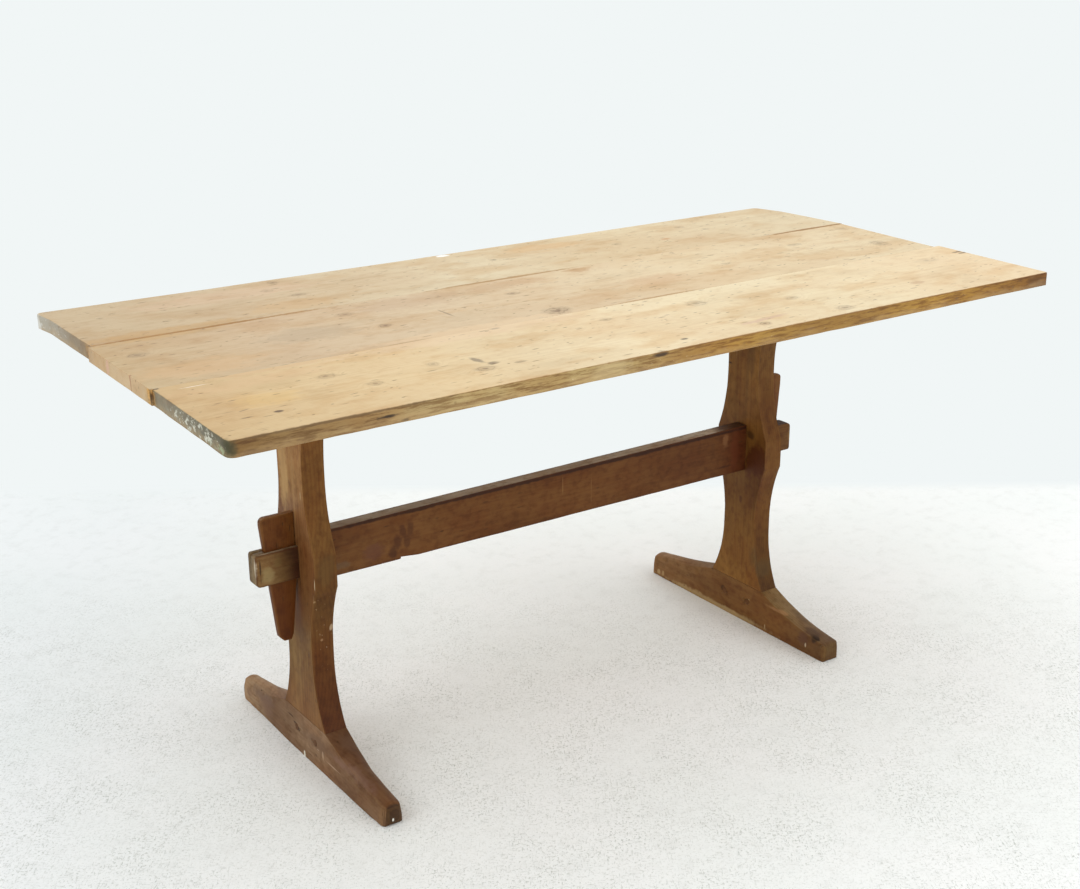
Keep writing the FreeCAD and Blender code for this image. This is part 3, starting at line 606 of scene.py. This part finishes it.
backPlank = {
    **topLook,
    "seed": 12.4,
    "pith": (0.31, 0.685),
    "tone": [
        (-0.82, "c6b08c"), (-0.55, "ccb693"), (-0.1, "deceac"),
        (0.3, "e2d0aa"), (0.8, "dfcda9"),
    ],
    "faceTones": {
        "-X": [(0.15, "8c7658"), (0.24, "92846e"), (0.4, "b4b0a2")],
        "+X": [(0.1, "a07a50"), (0.4, "a07a50")],
        "+Y": [(-0.8, "96744c"), (0.0, "a07e54"), (0.8, "987046")],
        "-Y": jointTone,
        "-Z": underTone,
    },
    "knots": [
        ((-0.393, 0.372), (0.008, 0.008), 0.8),
        ((-0.429, 0.32), (0.008, 0.007), 0.7),
        ((-0.395, 0.263), (0.013, 0.007), 0.65),
        ((0.036, 0.294), (0.006, 0.006), 0.75),
        ((0.313, 0.268), (0.008, 0.007), 0.5),
        ((0.523, 0.327), (0.009, 0.008), 0.5),
        ((0.555, 0.278), (0.007, 0.006), 0.4),
        ((-0.74, 0.305), (0.004, 0.004), 0.7),
    ],
    "marks": [
        ((-0.025, 0.386, 0.75), (0.015, 0.01, 0.012), "fcfcf8", 0.95),
        ((0.18, 0.333), (0.12, 0.034), "d6ac74", 0.5),
        ((0.425, 0.25), (0.014, 0.01), "c48c58", 0.65),
        ((-0.62, 0.1515), (0.28, 0.0055), "a0702c", 0.9),
        ((-0.68, 0.17), (0.19, 0.02), "c09860", 0.6),
        ((-0.02, 0.1515), (0.17, 0.005), "a87c42", 0.75),
        ((0.74, 0.1515), (0.13, 0.005), "9e7034", 0.9),
        ((-0.817, 0.392, 0.737), (0.01, 0.014, 0.02), "d6d4cc", 0.8),
        ((-0.43, 0.2), (0.11, 0.05), "cea670", 0.35),
        ((-0.5, 0.33), (0.2, 0.05), "d6b292", 0.35),
    ],
    "flakes": [((-0.813, 0.33, 0.738), (0.01, 0.09, 0.016), (120, 120, 160), 0.6, "c8c4ba")],
}


warp = {
    "start": 0.16,  # metres from the middle of the table
    "width": 0.24,
    "lift": 0.0026,
    "liftFrom": -0.5,
    "liftRun": 0.32,
    "sag": 0.0016,
    "sagFrom": -0.42,
    "sagRun": 0.3,
}
joints = {
    "back": {"place": 0.15, "from": (-0.42, 0.1), "to": (0.66, 0.08), "closed": (0.6, 1.0)},
    "front": {"place": -0.124, "from": (-0.18, 0.06), "to": (0.38, 0.06), "closed": (0.4, 0.0)},
}
jointGap = {"reach": 0.003, "crisp": 0.0015, "close": 0.00055}
plankShape = {"rim": 0.007, "along": 0.012, "across": 0.03, "arris": 0.0012, "ripple": 0.0002, "loss": 0.0009}


def bow(shape):
    # the back edge has warped: its near corner stands up a little and its middle hangs
    for vert in shape.verts:
        depth = min(1.0, max(0.0, (vert.co.y - warp["start"]) / warp["width"])) ** 2
        lift = warp["lift"] * max(0.0, (warp["liftFrom"] - vert.co.x) / warp["liftRun"])
        sag = warp["sag"] * min(1.0, max(0.0, (vert.co.x - warp["sagFrom"]) / warp["sagRun"]))
        vert.co.z += depth * (lift - sag)


def closeJoints(shape):
    # the back joint only gapes near its ends, the front one only in its middle
    for vert in shape.verts:
        for joint in joints.values():
            off = vert.co.y - joint["place"]
            if abs(off) >= jointGap["reach"]:
                continue
            (start, startRun), (end, endRun) = joint["from"], joint["to"]
            outer, inner = joint["closed"]
            fromStart, fromEnd = (vert.co.x - start) / startRun, (end - vert.co.x) / endRun
            inside = min(1.0, max(0.0, fromStart), max(0.0, fromEnd))
            vert.co.y -= math.copysign(jointGap["close"], off) * (outer + (inner - outer) * inside)


def atJoint(edge):
    # the planks meet with crisp edges
    return all(
        any(abs(vert.co.y - joint["place"]) < jointGap["crisp"] for joint in joints.values())
        for vert in edge.verts
    )


def buildPlank(node, look, seed):
    low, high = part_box(node)
    shape = cadCopy(node)
    ringFaces(shape, 2, plankShape["rim"], 0.02)
    slices(shape, 0, between(low.x, high.x, plankShape["along"]))
    slices(shape, 1, between(low.y, high.y, plankShape["across"]))
    easeArrises(shape, plankShape["arris"], 2, atJoint)
    weather(shape, plankShape["ripple"], plankShape["loss"], 0, seed)
    bow(shape)
    closeJoints(shape)
    material = woodMaterial(node + "Pine", look)
    finishPiece(node + "_worn", shape, material, "top", [node])


buildPlank("top_plank_front", frontPlank, 1.3)
buildPlank("top_plank_middle", middlePlank, 4.9)
buildPlank("top_plank_back", backPlank, 8.2)
print("top planks")


# trestles, stretcher and wedges

stainedLook = {
    "markDepth": 0.01,
    "ring": 0.005,
    "ringDepth": 0.26,
    "streak": 0.34,
    "fibre": 0.3,
    "late": "c4ac92",
    "clouds": [
        ((5.0, 10.0, 10.0), 0.4, 0.68, "decab4", 0.65),
        ((13.0, 24.0, 24.0), 0.42, 0.68, "ead4bc", 0.6),
        ((60.0, 80.0, 80.0), 0.42, 0.7, "d2c4b2", 0.7),
    ],
    "dents": [((40, 190, 190), 0.0, 0.05, 0.34), ((60, 150, 150), 0.7, 0.04, 0.32)],
    "dentDepth": 0.8,
    "grime": 0.22,
    "wear": 0.16,
    "rough": 0.58,
    "gloss": 0.16,
    "bump": 0.45,
    "dirt": "422a12",
    "knotHeart": "321e0c",
    "wornTint": "966e3e",
}
nearPostLook = {
    **stainedLook,
    "grain": "z", "pith": (0.02, -0.62), "face": ("X", -0.5555),
    "tone": [(0.08, "744c24"), (0.66, "866032")],
    "faceTones": {
        "-X": [
            (0.09, "855f34"), (0.2, "806234"), (0.29, "724d27"), (0.4, "764d28"),
            (0.46, "8c6540"), (0.5, "a27a46"), (0.6, "b0834c"),
        ],
        "-Y": [
            (0.09, "562e0e"), (0.21, "6c451e"), (0.3, "63441e"), (0.45, "7c5526"),
            (0.66, "845a2b"),
        ],
    },
    "marks": [
        ((0.024, 0.55), (0.018, 0.11), "bc9862", 0.6),
        ((-0.01, 0.5), (0.004, 0.1), "ac8654", 0.4),
        ((-0.045, 0.3), (0.03, 0.05), "6e4822", 0.5),
        ((-0.535, -0.07, 0.375), (0.02, 0.014, 0.03), "5c4220", 0.5),
        ((-0.014, 0.37), (0.003, 0.05), "3c240e", 0.8),
        # painted shade: darker reddish brown where the wedge shades the post's face
        ((0.0, 0.29), (0.024, 0.055), "683a14", 0.6),
        ((-0.028, 0.19), (0.001, 0.01), "382412", 0.9),
        ((-0.02, 0.182), (0.0008, 0.008), "3c2814", 0.8),
        ((-0.5545, -0.0675, 0.352), (0.004, 0.0014, 0.011), "cebe9c", 0.75),
        ((-0.5545, -0.06, 0.318), (0.004, 0.001, 0.018), "b0926a", 0.6),
        ((-0.5545, -0.044, 0.231), (0.004, 0.001, 0.01), "c4a682", 0.65),
        ((-0.518, -0.045, 0.262), (0.004, 0.001, 0.016), "bea484", 0.65),
        ((-0.536, -0.0425, 0.24), (0.003, 0.003, 0.003), "aa8460", 0.6),
        ((-0.5555, -0.034, 0.5), (0.004, 0.0008, 0.008), "d6c49c", 0.7),
        ((-0.5555, -0.066, 0.13), (0.004, 0.0012, 0.012), "b69268", 0.5),
        # painted shade with dirt: a dark line along the crease where the post meets the foot
        ((-0.535, -0.088, 0.085), (0.026, 0.014, 0.0034), "2c180c", 0.85),
    ],
    "flakes": [((-0.535, -0.055, 0.25), (0.03, 0.05, 0.12), (110, 260, 260), 0.66, "b6987a")],
}
farPostLook = {
    **stainedLook,
    "grain": "z", "pith": (-0.02, -0.62), "face": ("X", 0.4265),
    "tone": [(0.08, "785022"), (0.66, "7c5828")],
    "faceTones": {
        "-X": [
            (0.09, "8e642b"), (0.28, "6c471b"), (0.42, "855e2b"), (0.55, "8b622a"),
            (0.66, "7b6029"),
        ],
        "-Y": [(0.09, "5f4015"), (0.25, "70481b"), (0.4, "7a5323"), (0.66, "765226")],
    },
    "marks": [
        ((-0.046, 0.35), (0.032, 0.048), "4e220e", 0.8),
        ((-0.024, 0.404), (0.016, 0.01), "3a2210", 0.7),
        ((-0.02, 0.56), (0.012, 0.05), "5c3e1c", 0.5),
        ((-0.01, 0.52), (0.005, 0.09), "60421e", 0.4),
        ((0.0, 0.64), (0.03, 0.03), "62562c", 0.5),
        ((0.002, 0.595), (0.005, 0.01), "3a2814", 0.7),
        ((0.043, 0.537), (0.009, 0.002), "36220e", 0.85),
        ((0.024, 0.6), (0.003, 0.06), "a07c4c", 0.35),
        ((-0.004, 0.262), (0.005, 0.01), "4a2812", 0.7),
        ((-0.05, 0.15), (0.018, 0.03), "584222", 0.5),
        ((0.447, -0.06, 0.13), (0.03, 0.01, 0.03), "564224", 0.5),
    ],
}
nearFootLook = {
    **stainedLook,
    "rounding": {"front": 0.8, "back": 0.95, "frontTip": 9, "backTip": 6, "heel": 0.12},
    "grain": "y", "pith": (-0.03, -0.6), "face": ("X", -0.5555),
    "wear": 0.1,
    "streak": 0.2,
    "fibre": 0.16,
    "ringDepth": 0.16,
    "tone": [(-0.27, "745234"), (-0.1, "6c503a"), (0.1, "846244"), (0.27, "b29674")],
    "faceTones": {
        "-X": [
            (-0.27, "7e5f42"), (-0.14, "7a5d42"), (-0.05, "987c5f"), (0.13, "705237"),
            (0.27, "b09676"),
        ],
        "-Y": [(-0.6, "493421"), (0.6, "493421")],
        "+Y": [(-0.6, "7e6248"), (0.6, "7e6248")],
    },
    "marks": [
        ((-0.5555, -0.18, 0.052), (0.02, 0.09, 0.014), "806052", 0.5),
        ((-0.525, -0.11, 0.078), (0.02, 0.03, 0.02), "604634", 0.6),
        ((-0.04, 0.05), (0.06, 0.02), "684d38", 0.7),
        ((0.19, 0.046), (0.06, 0.016), "6a503e", 0.75),
        ((-0.515, -0.15, 0.062), (0.012, 0.04, 0.02), "543822", 0.5),
        ((0.058, 0.06), (0.012, 0.002), "3e2818", 0.8),
        ((0.04, 0.052), (0.009, 0.003), "382416", 0.8),
        ((0.027, 0.045), (0.005, 0.0046), "2e1e12", 0.85),
        ((-0.266, 0.014), (0.007, 0.018), "543a2a", 0.7),
        ((0.16, 0.03), (0.03, 0.02), "6e5242", 0.5),
        ((0.235, 0.026), (0.014, 0.01), "6a4a36", 0.4),
        ((-0.036, 0.024), (0.004, 0.003), "4c3624", 0.6),
        ((0.01, 0.004), (0.0032, 0.009), "e8e4d2", 0.95),
        ((-0.062, 0.034), (0.003, 0.009), "bea286", 0.7),
        ((-0.045, 0.038), (0.006, 0.0012), "c4aa90", 0.6),
        ((-0.094, 0.03), (0.03, 0.0016), "b0947a", 0.6),
        ((-0.538, -0.269, 0.012), (0.0022, 0.003, 0.004), "e8e8de", 0.95),
    ],
}
farFootLook = {
    **stainedLook,
    "rounding": {"front": 0.4, "back": 0.8, "frontTip": 0, "backTip": 4, "heel": 0.0},
    "grain": "y", "pith": (-0.03, -0.6), "face": ("X", 0.4265),
    "streak": 0.24,
    "fibre": 0.2,
    "tone": [
        (-0.26, "70583e"), (-0.2, "826a4c"), (-0.1, "8a7048"), (0.1, "826038"),
        (0.27, "a2805c"),
    ],
    "faceTones": {
        "-X": [(-0.26, "725838"), (-0.12, "855d30"), (0.04, "7a542a"), (0.27, "906d45")],
        "-Y": [(-0.6, "6e5735"), (0.6, "6e5735")],
    },
    "marks": [
        ((0.43, -0.15, 0.06), (0.01, 0.07, 0.004), "aa7e54", 0.5),
        ((0.432, -0.228, 0.044), (0.01, 0.014, 0.018), "241810", 0.95),
        ((0.442, -0.212, 0.048), (0.014, 0.024, 0.02), "4e3828", 0.7),
        ((0.455, -0.175, 0.058), (0.01, 0.04, 0.02), "543c20", 0.5),
        ((0.04, 0.05), (0.007, 0.007), "402612", 0.8),
        ((0.251, 0.01), (0.007, 0.007), "c4a878", 0.6),
        ((0.236, 0.01), (0.006, 0.008), "ba9c6c", 0.6),
        ((0.06, 0.004), (0.19, 0.009), "b49a6a", 0.65),
        ((-0.2, 0.03), (0.018, 0.016), "583a2c", 0.6),
        ((-0.207, 0.018), (0.002, 0.005), "ceba9c", 0.7),
        ((-0.04, 0.052), (0.003, 0.002), "bea074", 0.6),
        ((-0.09, 0.012), (0.002, 0.006), "bea67c", 0.6),
    ],
}
railLook = {
    **stainedLook,
    "grain": "y", "pith": (0.6, -0.6),
    "tone": [(-0.28, "7c562e"), (0.28, "7c562e")],
}
stretcherLook = {
    **stainedLook,
    "grain": "stretcher", "pith": (0.33, 0.06), "face": ("Y", -0.0135),
    "ringDepth": 0.12,
    "wear": 0.5,
    "wornTint": "4a2410",
    "tone": [(-0.6, "744e26"), (0.5, "704620")],
    "faceTones": {
        "-Y": [
            (-0.61, "8a6e47"), (-0.594, "725732"), (-0.57, "482814"), (-0.5, "744d27"),
            (0.0, "704821"), (0.36, "663f1d"), (0.43, "5e2f13"), (0.5, "78562c"),
        ],
        "+Z": [
            (-0.63, "8c7c5c"), (-0.5, "b0a898"), (0.1, "b0a594"), (0.345, "cec8ba"),
            (0.375, "684e38"), (0.43, "503826"),
        ],
        "-X": [(-0.02, "a0906e"), (0.02, "5c4a32")],
    },
    "marks": [
        ((0.0, -0.0135, 0.4165), (0.9, 0.004, 0.0042), "2c140c", 0.85),
        ((-0.378, 0.346), (0.01, 0.016), "422210", 0.7),
        ((-0.368, 0.366), (0.009, 0.016), "462410", 0.7),
        ((-0.358, 0.386), (0.008, 0.016), "482612", 0.7),
        ((-0.35, 0.362), (0.007, 0.014), "482612", 0.6),
        ((-0.342, 0.384), (0.007, 0.018), "4a2812", 0.6),
        ((-0.415, 0.356), (0.024, 0.02), "5e3a2e", 0.5),
        ((-0.48, 0.35), (0.02, 0.008), "6c5842", 0.5),
        ((-0.02, 0.392), (0.0012, 0.022), "a07648", 0.35),
        ((0.045, 0.372), (0.0012, 0.03), "966c42", 0.3),
        ((0.34, 0.392), (0.007, 0.016), "543216", 0.5),
        ((0.372, 0.345), (0.02, 0.003), "3c1e0e", 0.6),
        ((0.398, 0.375), (0.014, 0.05), "602e16", 0.6),
        ((0.372, 0.398), (0.01, 0.016), "926642", 0.4),
        ((-0.612, 0.366), (0.016, 0.014), "9e8a5c", 0.6),
        ((-0.592, 0.384), (0.01, 0.012), "6e562e", 0.5),
        ((-0.624, 0.378), (0.0016, 0.026), "382818", 0.8),
        # painted shade: the split at the tenon's end darkened over the groove that the shaping cuts
        ((-0.628, 0.003, 0.398), (0.016, 0.0022, 0.022), "22160e", 0.9),
        ((-0.602, -0.011, 0.404), (0.034, 0.003, 0.002), "cebea4", 0.6),
        ((-0.632, -0.011, 0.38), (0.004, 0.003, 0.026), "cec2aa", 0.7),
        ((0.543, -0.012, 0.38), (0.004, 0.004, 0.03), "a08052", 0.5),
    ],
}
wedgeLook = {
    **stainedLook,
    "grain": "z", "pith": (0.06, 0.0), "ring": 0.003, "rough": 0.5, "grime": 0.12,
    "tone": [(0.24, "673910"), (0.36, "683b14"), (0.46, "784d20"), (0.51, "7c5223")],
    "faceTones": {"+Z": [(-0.02, "a08062"), (0.02, "a08062")]},
}
pegLook = {
    **stainedLook,
    "grain": "x", "pith": (0.0, 0.0), "ring": 0.0016,
    "tone": [(-0.6, "68482a"), (0.5, "684422")],
}
battenLook = {
    **stainedLook,
    "grain": "y", "pith": (0.66, -0.5), "grime": 0.15,
    "tone": [(-0.35, "b28a58"), (0.4, "b89260")],
}


boardShape = {"rim": 0.006, "leastFace": 0.002, "ripple": 0.0003, "loss": 0.0005}
footShape = {
    "plain": 0.075,  # metres from the middle where the rounding begins
    "full": 0.17,
    "core": 0.35,  # the share of the height that stays square
    "tip": 0.035,
    "sole": 0.012,
    "cuts": (0.0052, 0.004, 0.007),  # between slices along X, at the tips along Y, and up
    "cutTip": 0.03,
}
tenonSplit = {"across": 0.003, "width": 0.0022, "long": 0.017, "depth": 0.014, "top": 0.404, "open": 0.008}
edgeChip = {"from": -0.362, "to": -0.328, "depth": 0.0055, "top": 0.345}


def buildBoard(node, look, body, axis, step, seed, skip=None, width=0.0024, wearShape=None):
    low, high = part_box(node)
    rim = boardShape["rim"]
    grainAxis = "XYZ".index(grainOrder[look["grain"]][0])
    shape = cadCopy(node)
    ringFaces(shape, axis, rim, boardShape["leastFace"])
    slices(shape, axis, [low[axis] + rim, high[axis] - rim])
    slices(shape, grainAxis, between(low[grainAxis], high[grainAxis], step))
    easeArrises(shape, width, 3, skip)
    if wearShape:
        wearShape(shape, low, high)
    weather(shape, boardShape["ripple"], boardShape["loss"], grainAxis, seed)
    material = woodMaterial(node + "Wood", {**look, "seed": seed})
    finishPiece(node + "_worn", shape, material, body, [node])


def nearLevel(*levels):
    # edges that lie against another board aren't eased
    return lambda edge: any(all(abs(v.co.z - level) < 0.0004 for v in edge.verts) for level in levels)


def roundFoot(rounding):
    # the arms of a foot are worn round on top, each by its own share of a full round, and
    # the back one also underneath
    plain, full, core = footShape["plain"], footShape["full"], footShape["core"]
    cutX, cutY, cutZ = footShape["cuts"]
    cutTip = footShape["cutTip"]

    def wearShape(shape, low, high):
        slices(shape, 0, between(low.x, high.x, cutX))
        slices(shape, 1, between(low.y, low.y + cutTip, cutY) + between(high.y - cutTip, high.y, cutY))
        slices(shape, 2, between(0.010, high.z, cutZ))
        middle, half = (low.x + high.x) / 2, (high.x - low.x) / 2
        tops = {}
        for vert in shape.verts:
            row = round(vert.co.y, 4)
            tops[row] = max(tops.get(row, 0.0), vert.co.z)
        for vert in shape.verts:
            share = min(1.0, max(0.0, (abs(vert.co.y) - plain) / (full - plain)))
            strength = share * rounding["front" if vert.co.y < 0 else "back"]
            top = max(0.01, tops[round(vert.co.y, 4)])
            across = (vert.co.x - middle) / half
            upward = max(0.0, vert.co.z / top - core) / (1 - core)
            vert.co.x = middle + half * across * math.sqrt(1 - strength * upward ** 2 / 2)
            if vert.co.y > 0 and vert.co.z < footShape["sole"]:
                vert.co.x -= half * across * rounding["heel"] * share
            if upward > 0:
                flatter = upward * math.sqrt(1 - strength * across ** 2 / 2)
                vert.co.z = top * (core + (1 - core) * flatter)
        smoothTip(shape, lambda vert: vert.co.y < low.y + footShape["tip"], rounding["frontTip"])
        smoothTip(shape, lambda vert: vert.co.y > high.y - footShape["tip"], rounding["backTip"])
    return wearShape


def smoothTip(shape, chosen, times):
    tip = [vert for vert in shape.verts if chosen(vert)]
    for _ in range(times):
        bmesh.ops.smooth_vert(
            shape, verts=tip, factor=0.5, use_axis_x=True, use_axis_y=True, use_axis_z=True,
        )
    for vert in tip:
        vert.co.z = max(vert.co.z, 0.0)


def splitTenon(shape, low):
    # the near tenon has split along the grain from its end to the wedge
    across, width, long = tenonSplit["across"], tenonSplit["width"], tenonSplit["long"]
    depth, top = tenonSplit["depth"], tenonSplit["top"]
    slices(shape, 1, [across - width, across, across + width])
    slices(shape, 2, [top - depth * part for part in (0.25, 0.5, 1.0)])
    for vert in shape.verts:
        if abs(vert.co.y - across) > 0.0002 or vert.co.x > low.x + long:
            continue
        run = 1 - (vert.co.x - low.x) / long
        rise = (vert.co.z - top) / depth + 1
        if rise > 0.7:
            vert.co.z -= depth * (0.35 + 0.65 * run) * rise
        if rise > 0 and run > 0.6:
            vert.co.x += tenonSplit["open"] * rise


def chipEdge(shape, low):
    # a splinter is gone from the lower edge: steep on one side, running out on the other
    start, end, top = edgeChip["from"], edgeChip["to"], edgeChip["top"]
    slices(shape, 0, [start - 0.0015, start, start + 0.005, start + 0.018, end])
    for vert in shape.verts:
        along = (vert.co.x - start) / (end - start)
        if -0.001 <= along <= 1 and vert.co.z < top:
            vert.co.z += edgeChip["depth"] * (1 - along) * (top - vert.co.z) / (top - low.z)


def wearStretcher(shape, low, high):
    splitTenon(shape, low)
    chipEdge(shape, low)


def buildTrestle(end, postLook, footLook, seed):
    atFoot, atRail = 0.082, 0.665  # heights at which the post meets them
    buildBoard(f"{end}_post", postLook, "base", 0, 0.014, seed, nearLevel(atFoot, atRail))
    buildBoard(
        f"{end}_foot", footLook, "base", 0, 0.010, seed + 1, nearLevel(atFoot),
        wearShape=roundFoot(footLook["rounding"]),
    )
    buildBoard(f"{end}_head_rail", railLook, "base", 0, 0.02, seed + 2, nearLevel(atRail))
    buildBoard(f"{end}_wedge", wedgeLook, f"{end}_wedge", 1, 0.012, seed + 3, width=0.0018)
    buildBoard(f"{end}_batten", battenLook, "top", 0, 0.03, seed + 4)


buildTrestle("near", nearPostLook, nearFootLook, 2.0)
buildTrestle("far", farPostLook, farFootLook, 5.5)
buildBoard(
    "stretcher", stretcherLook, "base", 1, 0.012, 9.0,
    width=0.0020, wearShape=wearStretcher,
)

pegWood = woodMaterial("pegWood", {**pegLook, "seed": 4.0})
for end in ("near", "far"):
    for kind in ("foot", "head", "locating"):
        dressNode(f"{end}_{kind}_pegs", pegWood)
for side in ("front", "back"):
    dressNode(f"{side}_joint_dowels", pegWood)
print("trestles, stretcher and wedges")


# floor, light and camera

view = {
    "position": (-1.5777, -2.1994, 1.4129),  # metres
    "yaw": 55.40702,
    "pitch": 19.31833,
    "roll": -0.36012,
    "focal": 1568.923,  # in pixels of a picture 1080 wide
    "width": 1080.0,
    "sensor": 36.0,  # millimetres
}
floorLook = {
    "radius": 30.0,
    "plain": "f7fbf9",
    "pale": "fcfefd",  # in wide drifts
    "grey": "e5e8e5",  # in mottles and grains
    "pit": "aeb4ac",
    "dim": "eff1f3",  # the light falls off to the left
    "dimmed": (-1.1, -0.2),  # metres to the right of the camera
    "wall": "f1f6f6",
    "wallStart": 3.68,  # metres ahead of the camera
    "smoother": (1.0, 0.4),  # metres before the wall, where fewer marks are
    "reach": (1.8, 3.2),  # metres from the middle, where the floor fades out
    "trowelTurn": -0.97,
    "rough": 0.75,
    "gloss": 0.15,
}
floorNoises = {  # scale of the noise, its levels and its strength
    "drift": (2.2, (0.35, 0.7), (0.0, 0.8)),
    "mottle": (26, (0.46, 0.72), (0.0, 0.35)),
    "grain": (260, (0.5, 0.74), (0.0, 0.55)),
    "gathered": (7, (0.36, 0.68), (0.26, 0.7)),
}
lamps = {
    "windowLight": {"place": (-9.0, -1.0, 5.4), "size": 5.4, "power": 150.0},
    "frontLight": {"place": (3.0, -6.0, 4.2), "size": 5.0, "power": 80.0},
    "ceilingLight": {"place": (0.4, 1.8, 5.2), "size": 3.5, "power": 22.0},
}
worldLight = 0.95


def heading():
    # the level directions ahead of the camera and to its right
    yaw = math.radians(view["yaw"])
    return Vector((math.cos(yaw), math.sin(yaw), 0)), Vector((math.sin(yaw), -math.cos(yaw), 0))


def distanceAlong(tree, place, direction):
    # how far a place lies from the camera's foot in a direction
    inputs = {0: place, 1: direction[:]}
    reach = put(tree, "VectorMath", inputs, operation="DOT_PRODUCT").outputs["Value"]
    return calc(tree, "SUBTRACT", reach, Vector(view["position"]).dot(direction))


def floorNoise(tree, place, name, detail, rough, shift=(0, 0, 0)):
    # one of the floor's noises, brought to its own levels
    scale, levels, strength = floorNoises[name]
    return span(tree, cloud(tree, place, (scale,) * 3, detail, rough, shift), *levels, *strength)


def plasterColour(tree, place, ahead, across):
    # pale plaster, finely pitted and scored by the trowel, the marks in drifts and fewer by the wall
    tones = {name: shade(floorLook[name]) for name in ("plain", "pale", "grey", "pit", "dim")}
    inputs = {"Vector": place, "Rotation": (0, 0, floorLook["trowelTurn"])}
    turned = put(tree, "Mapping", inputs).outputs[0]
    smoothFrom, smoothTo = (floorLook["wallStart"] - before for before in floorLook["smoother"])
    smoother = span(tree, ahead, smoothFrom, smoothTo, 1.0, 0.12)
    drift = floorNoise(tree, place, "drift", 3.0, 0.5)
    mottle = floorNoise(tree, place, "mottle", 5.0, 0.7)
    grain = calc(tree, "MULTIPLY", floorNoise(tree, place, "grain", 3.0, 0.65), smoother)
    colour = mixColour(tree, drift, tones["plain"], tones["pale"])
    colour = mixColour(tree, mottle, colour, tones["grey"])
    colour = mixColour(tree, grain, colour, tones["grey"])
    pits = crumbs(tree, place, (200, 200, 200), 0.565)
    for scale in ((55, 380, 60), (400, 65, 75)):  # the trowel's scores, both ways
        pits = calc(tree, "MAXIMUM", pits, crumbs(tree, turned, scale, 0.585))
    gathered = floorNoise(tree, place, "gathered", 4.0, 0.65, (4, 1, 0))
    pits = calc(tree, "MULTIPLY", calc(tree, "MULTIPLY", pits, gathered), smoother)
    colour = mixColour(tree, pits, colour, tones["pit"])
    dimmer = span(tree, across, *floorLook["dimmed"], 1.0, 0.0)
    return mixColour(tree, dimmer, colour, tones["dim"], "MULTIPLY")


def buildFloor():
    shape = bmesh.new()
    bmesh.ops.create_circle(shape, cap_ends=True, segments=96, radius=floorLook["radius"])
    mesh = bpy.data.meshes.new("floor")
    shape.to_mesh(mesh)
    shape.free()
    floor = bpy.data.objects.new("floor", mesh)
    bpy.context.scene.collection.objects.link(floor)
    material = bpy.data.materials.new("paleFloor")
    material.use_nodes = True
    tree = material.node_tree
    tree.nodes.clear()
    place = put(tree, "TexCoord").outputs["Object"]
    ahead, across = (distanceAlong(tree, place, direction) for direction in heading())
    colour = plasterColour(tree, place, ahead, across)
    shader = put(tree, "BsdfPrincipled", {"Base Color": colour})
    shader.inputs["Roughness"].default_value = floorLook["rough"]
    shader.inputs["Specular IOR Level"].default_value = floorLook["gloss"]
    wall = put(tree, "Emission", {"Color": shade(floorLook["wall"])})
    wallStart = floorLook["wallStart"]
    beyond = span(tree, ahead, wallStart - 0.03, wallStart + 0.05)
    reach = put(tree, "VectorMath", {0: place}, operation="LENGTH").outputs["Value"]
    beyond = calc(tree, "MAXIMUM", beyond, span(tree, reach, *floorLook["reach"]))
    seen = put(tree, "LightPath").outputs["Is Camera Ray"]
    inputs = {0: calc(tree, "MULTIPLY", beyond, seen), 1: shader.outputs[0], 2: wall.outputs[0]}
    mixed = put(tree, "MixShader", inputs)
    put(tree, "OutputMaterial", {0: mixed.outputs[0]})
    floor.data.materials.append(material)


def buildWorld():
    world = bpy.data.worlds.new("studioAir")
    bpy.context.scene.world = world
    world.use_nodes = True
    tree = world.node_tree
    tree.nodes.clear()
    path = put(tree, "LightPath")
    seen = calc(tree, "ADD", path.outputs["Is Camera Ray"], path.outputs["Is Glossy Ray"])
    seen = calc(tree, "ADD", seen, path.outputs["Is Transmission Ray"], clamp=True)
    light = put(tree, "Background", {"Color": (1, 1, 1, 1), "Strength": worldLight})
    shown = put(tree, "Background", {"Color": shade(floorLook["wall"]), "Strength": 1.0})
    mixed = put(tree, "MixShader", {0: seen, 1: light.outputs[0], 2: shown.outputs[0]})
    put(tree, "OutputWorld", {0: mixed.outputs[0]})


def buildLamp(name, settings):
    target = Vector((0, 0, 0.4))
    lamp = bpy.data.lights.new(name, "AREA")
    lamp.shape = "SQUARE"
    lamp.size = settings["size"]
    lamp.energy = settings["power"]
    holder = bpy.data.objects.new(name, lamp)
    holder.location = settings["place"]
    holder.rotation_euler = (target - Vector(settings["place"])).to_track_quat("-Z", "Y").to_euler()
    bpy.context.scene.collection.objects.link(holder)


def buildCamera():
    yaw, pitch, roll = (math.radians(view[key]) for key in ("yaw", "pitch", "roll"))
    ahead = Vector((math.cos(yaw) * math.cos(pitch), math.sin(yaw) * math.cos(pitch), -math.sin(pitch)))
    level = heading()[1]
    upright = level.cross(ahead)
    right = math.cos(roll) * level + math.sin(roll) * upright
    up = -math.sin(roll) * level + math.cos(roll) * upright
    lens = bpy.data.cameras.new("camera")
    lens.sensor_fit = "HORIZONTAL"
    lens.sensor_width = view["sensor"]
    lens.lens = view["focal"] / view["width"] * view["sensor"]
    camera = bpy.data.objects.new("camera", lens)
    turn = Matrix((right, up, -ahead)).transposed().to_4x4()
    camera.matrix_world = Matrix.Translation(view["position"]) @ turn
    bpy.context.scene.collection.objects.link(camera)
    bpy.context.scene.camera = camera


buildFloor()
buildWorld()
for name, settings in lamps.items():
    buildLamp(name, settings)
buildCamera()
bpy.context.scene.view_settings.view_transform = "Standard"
print("floor, light and camera")
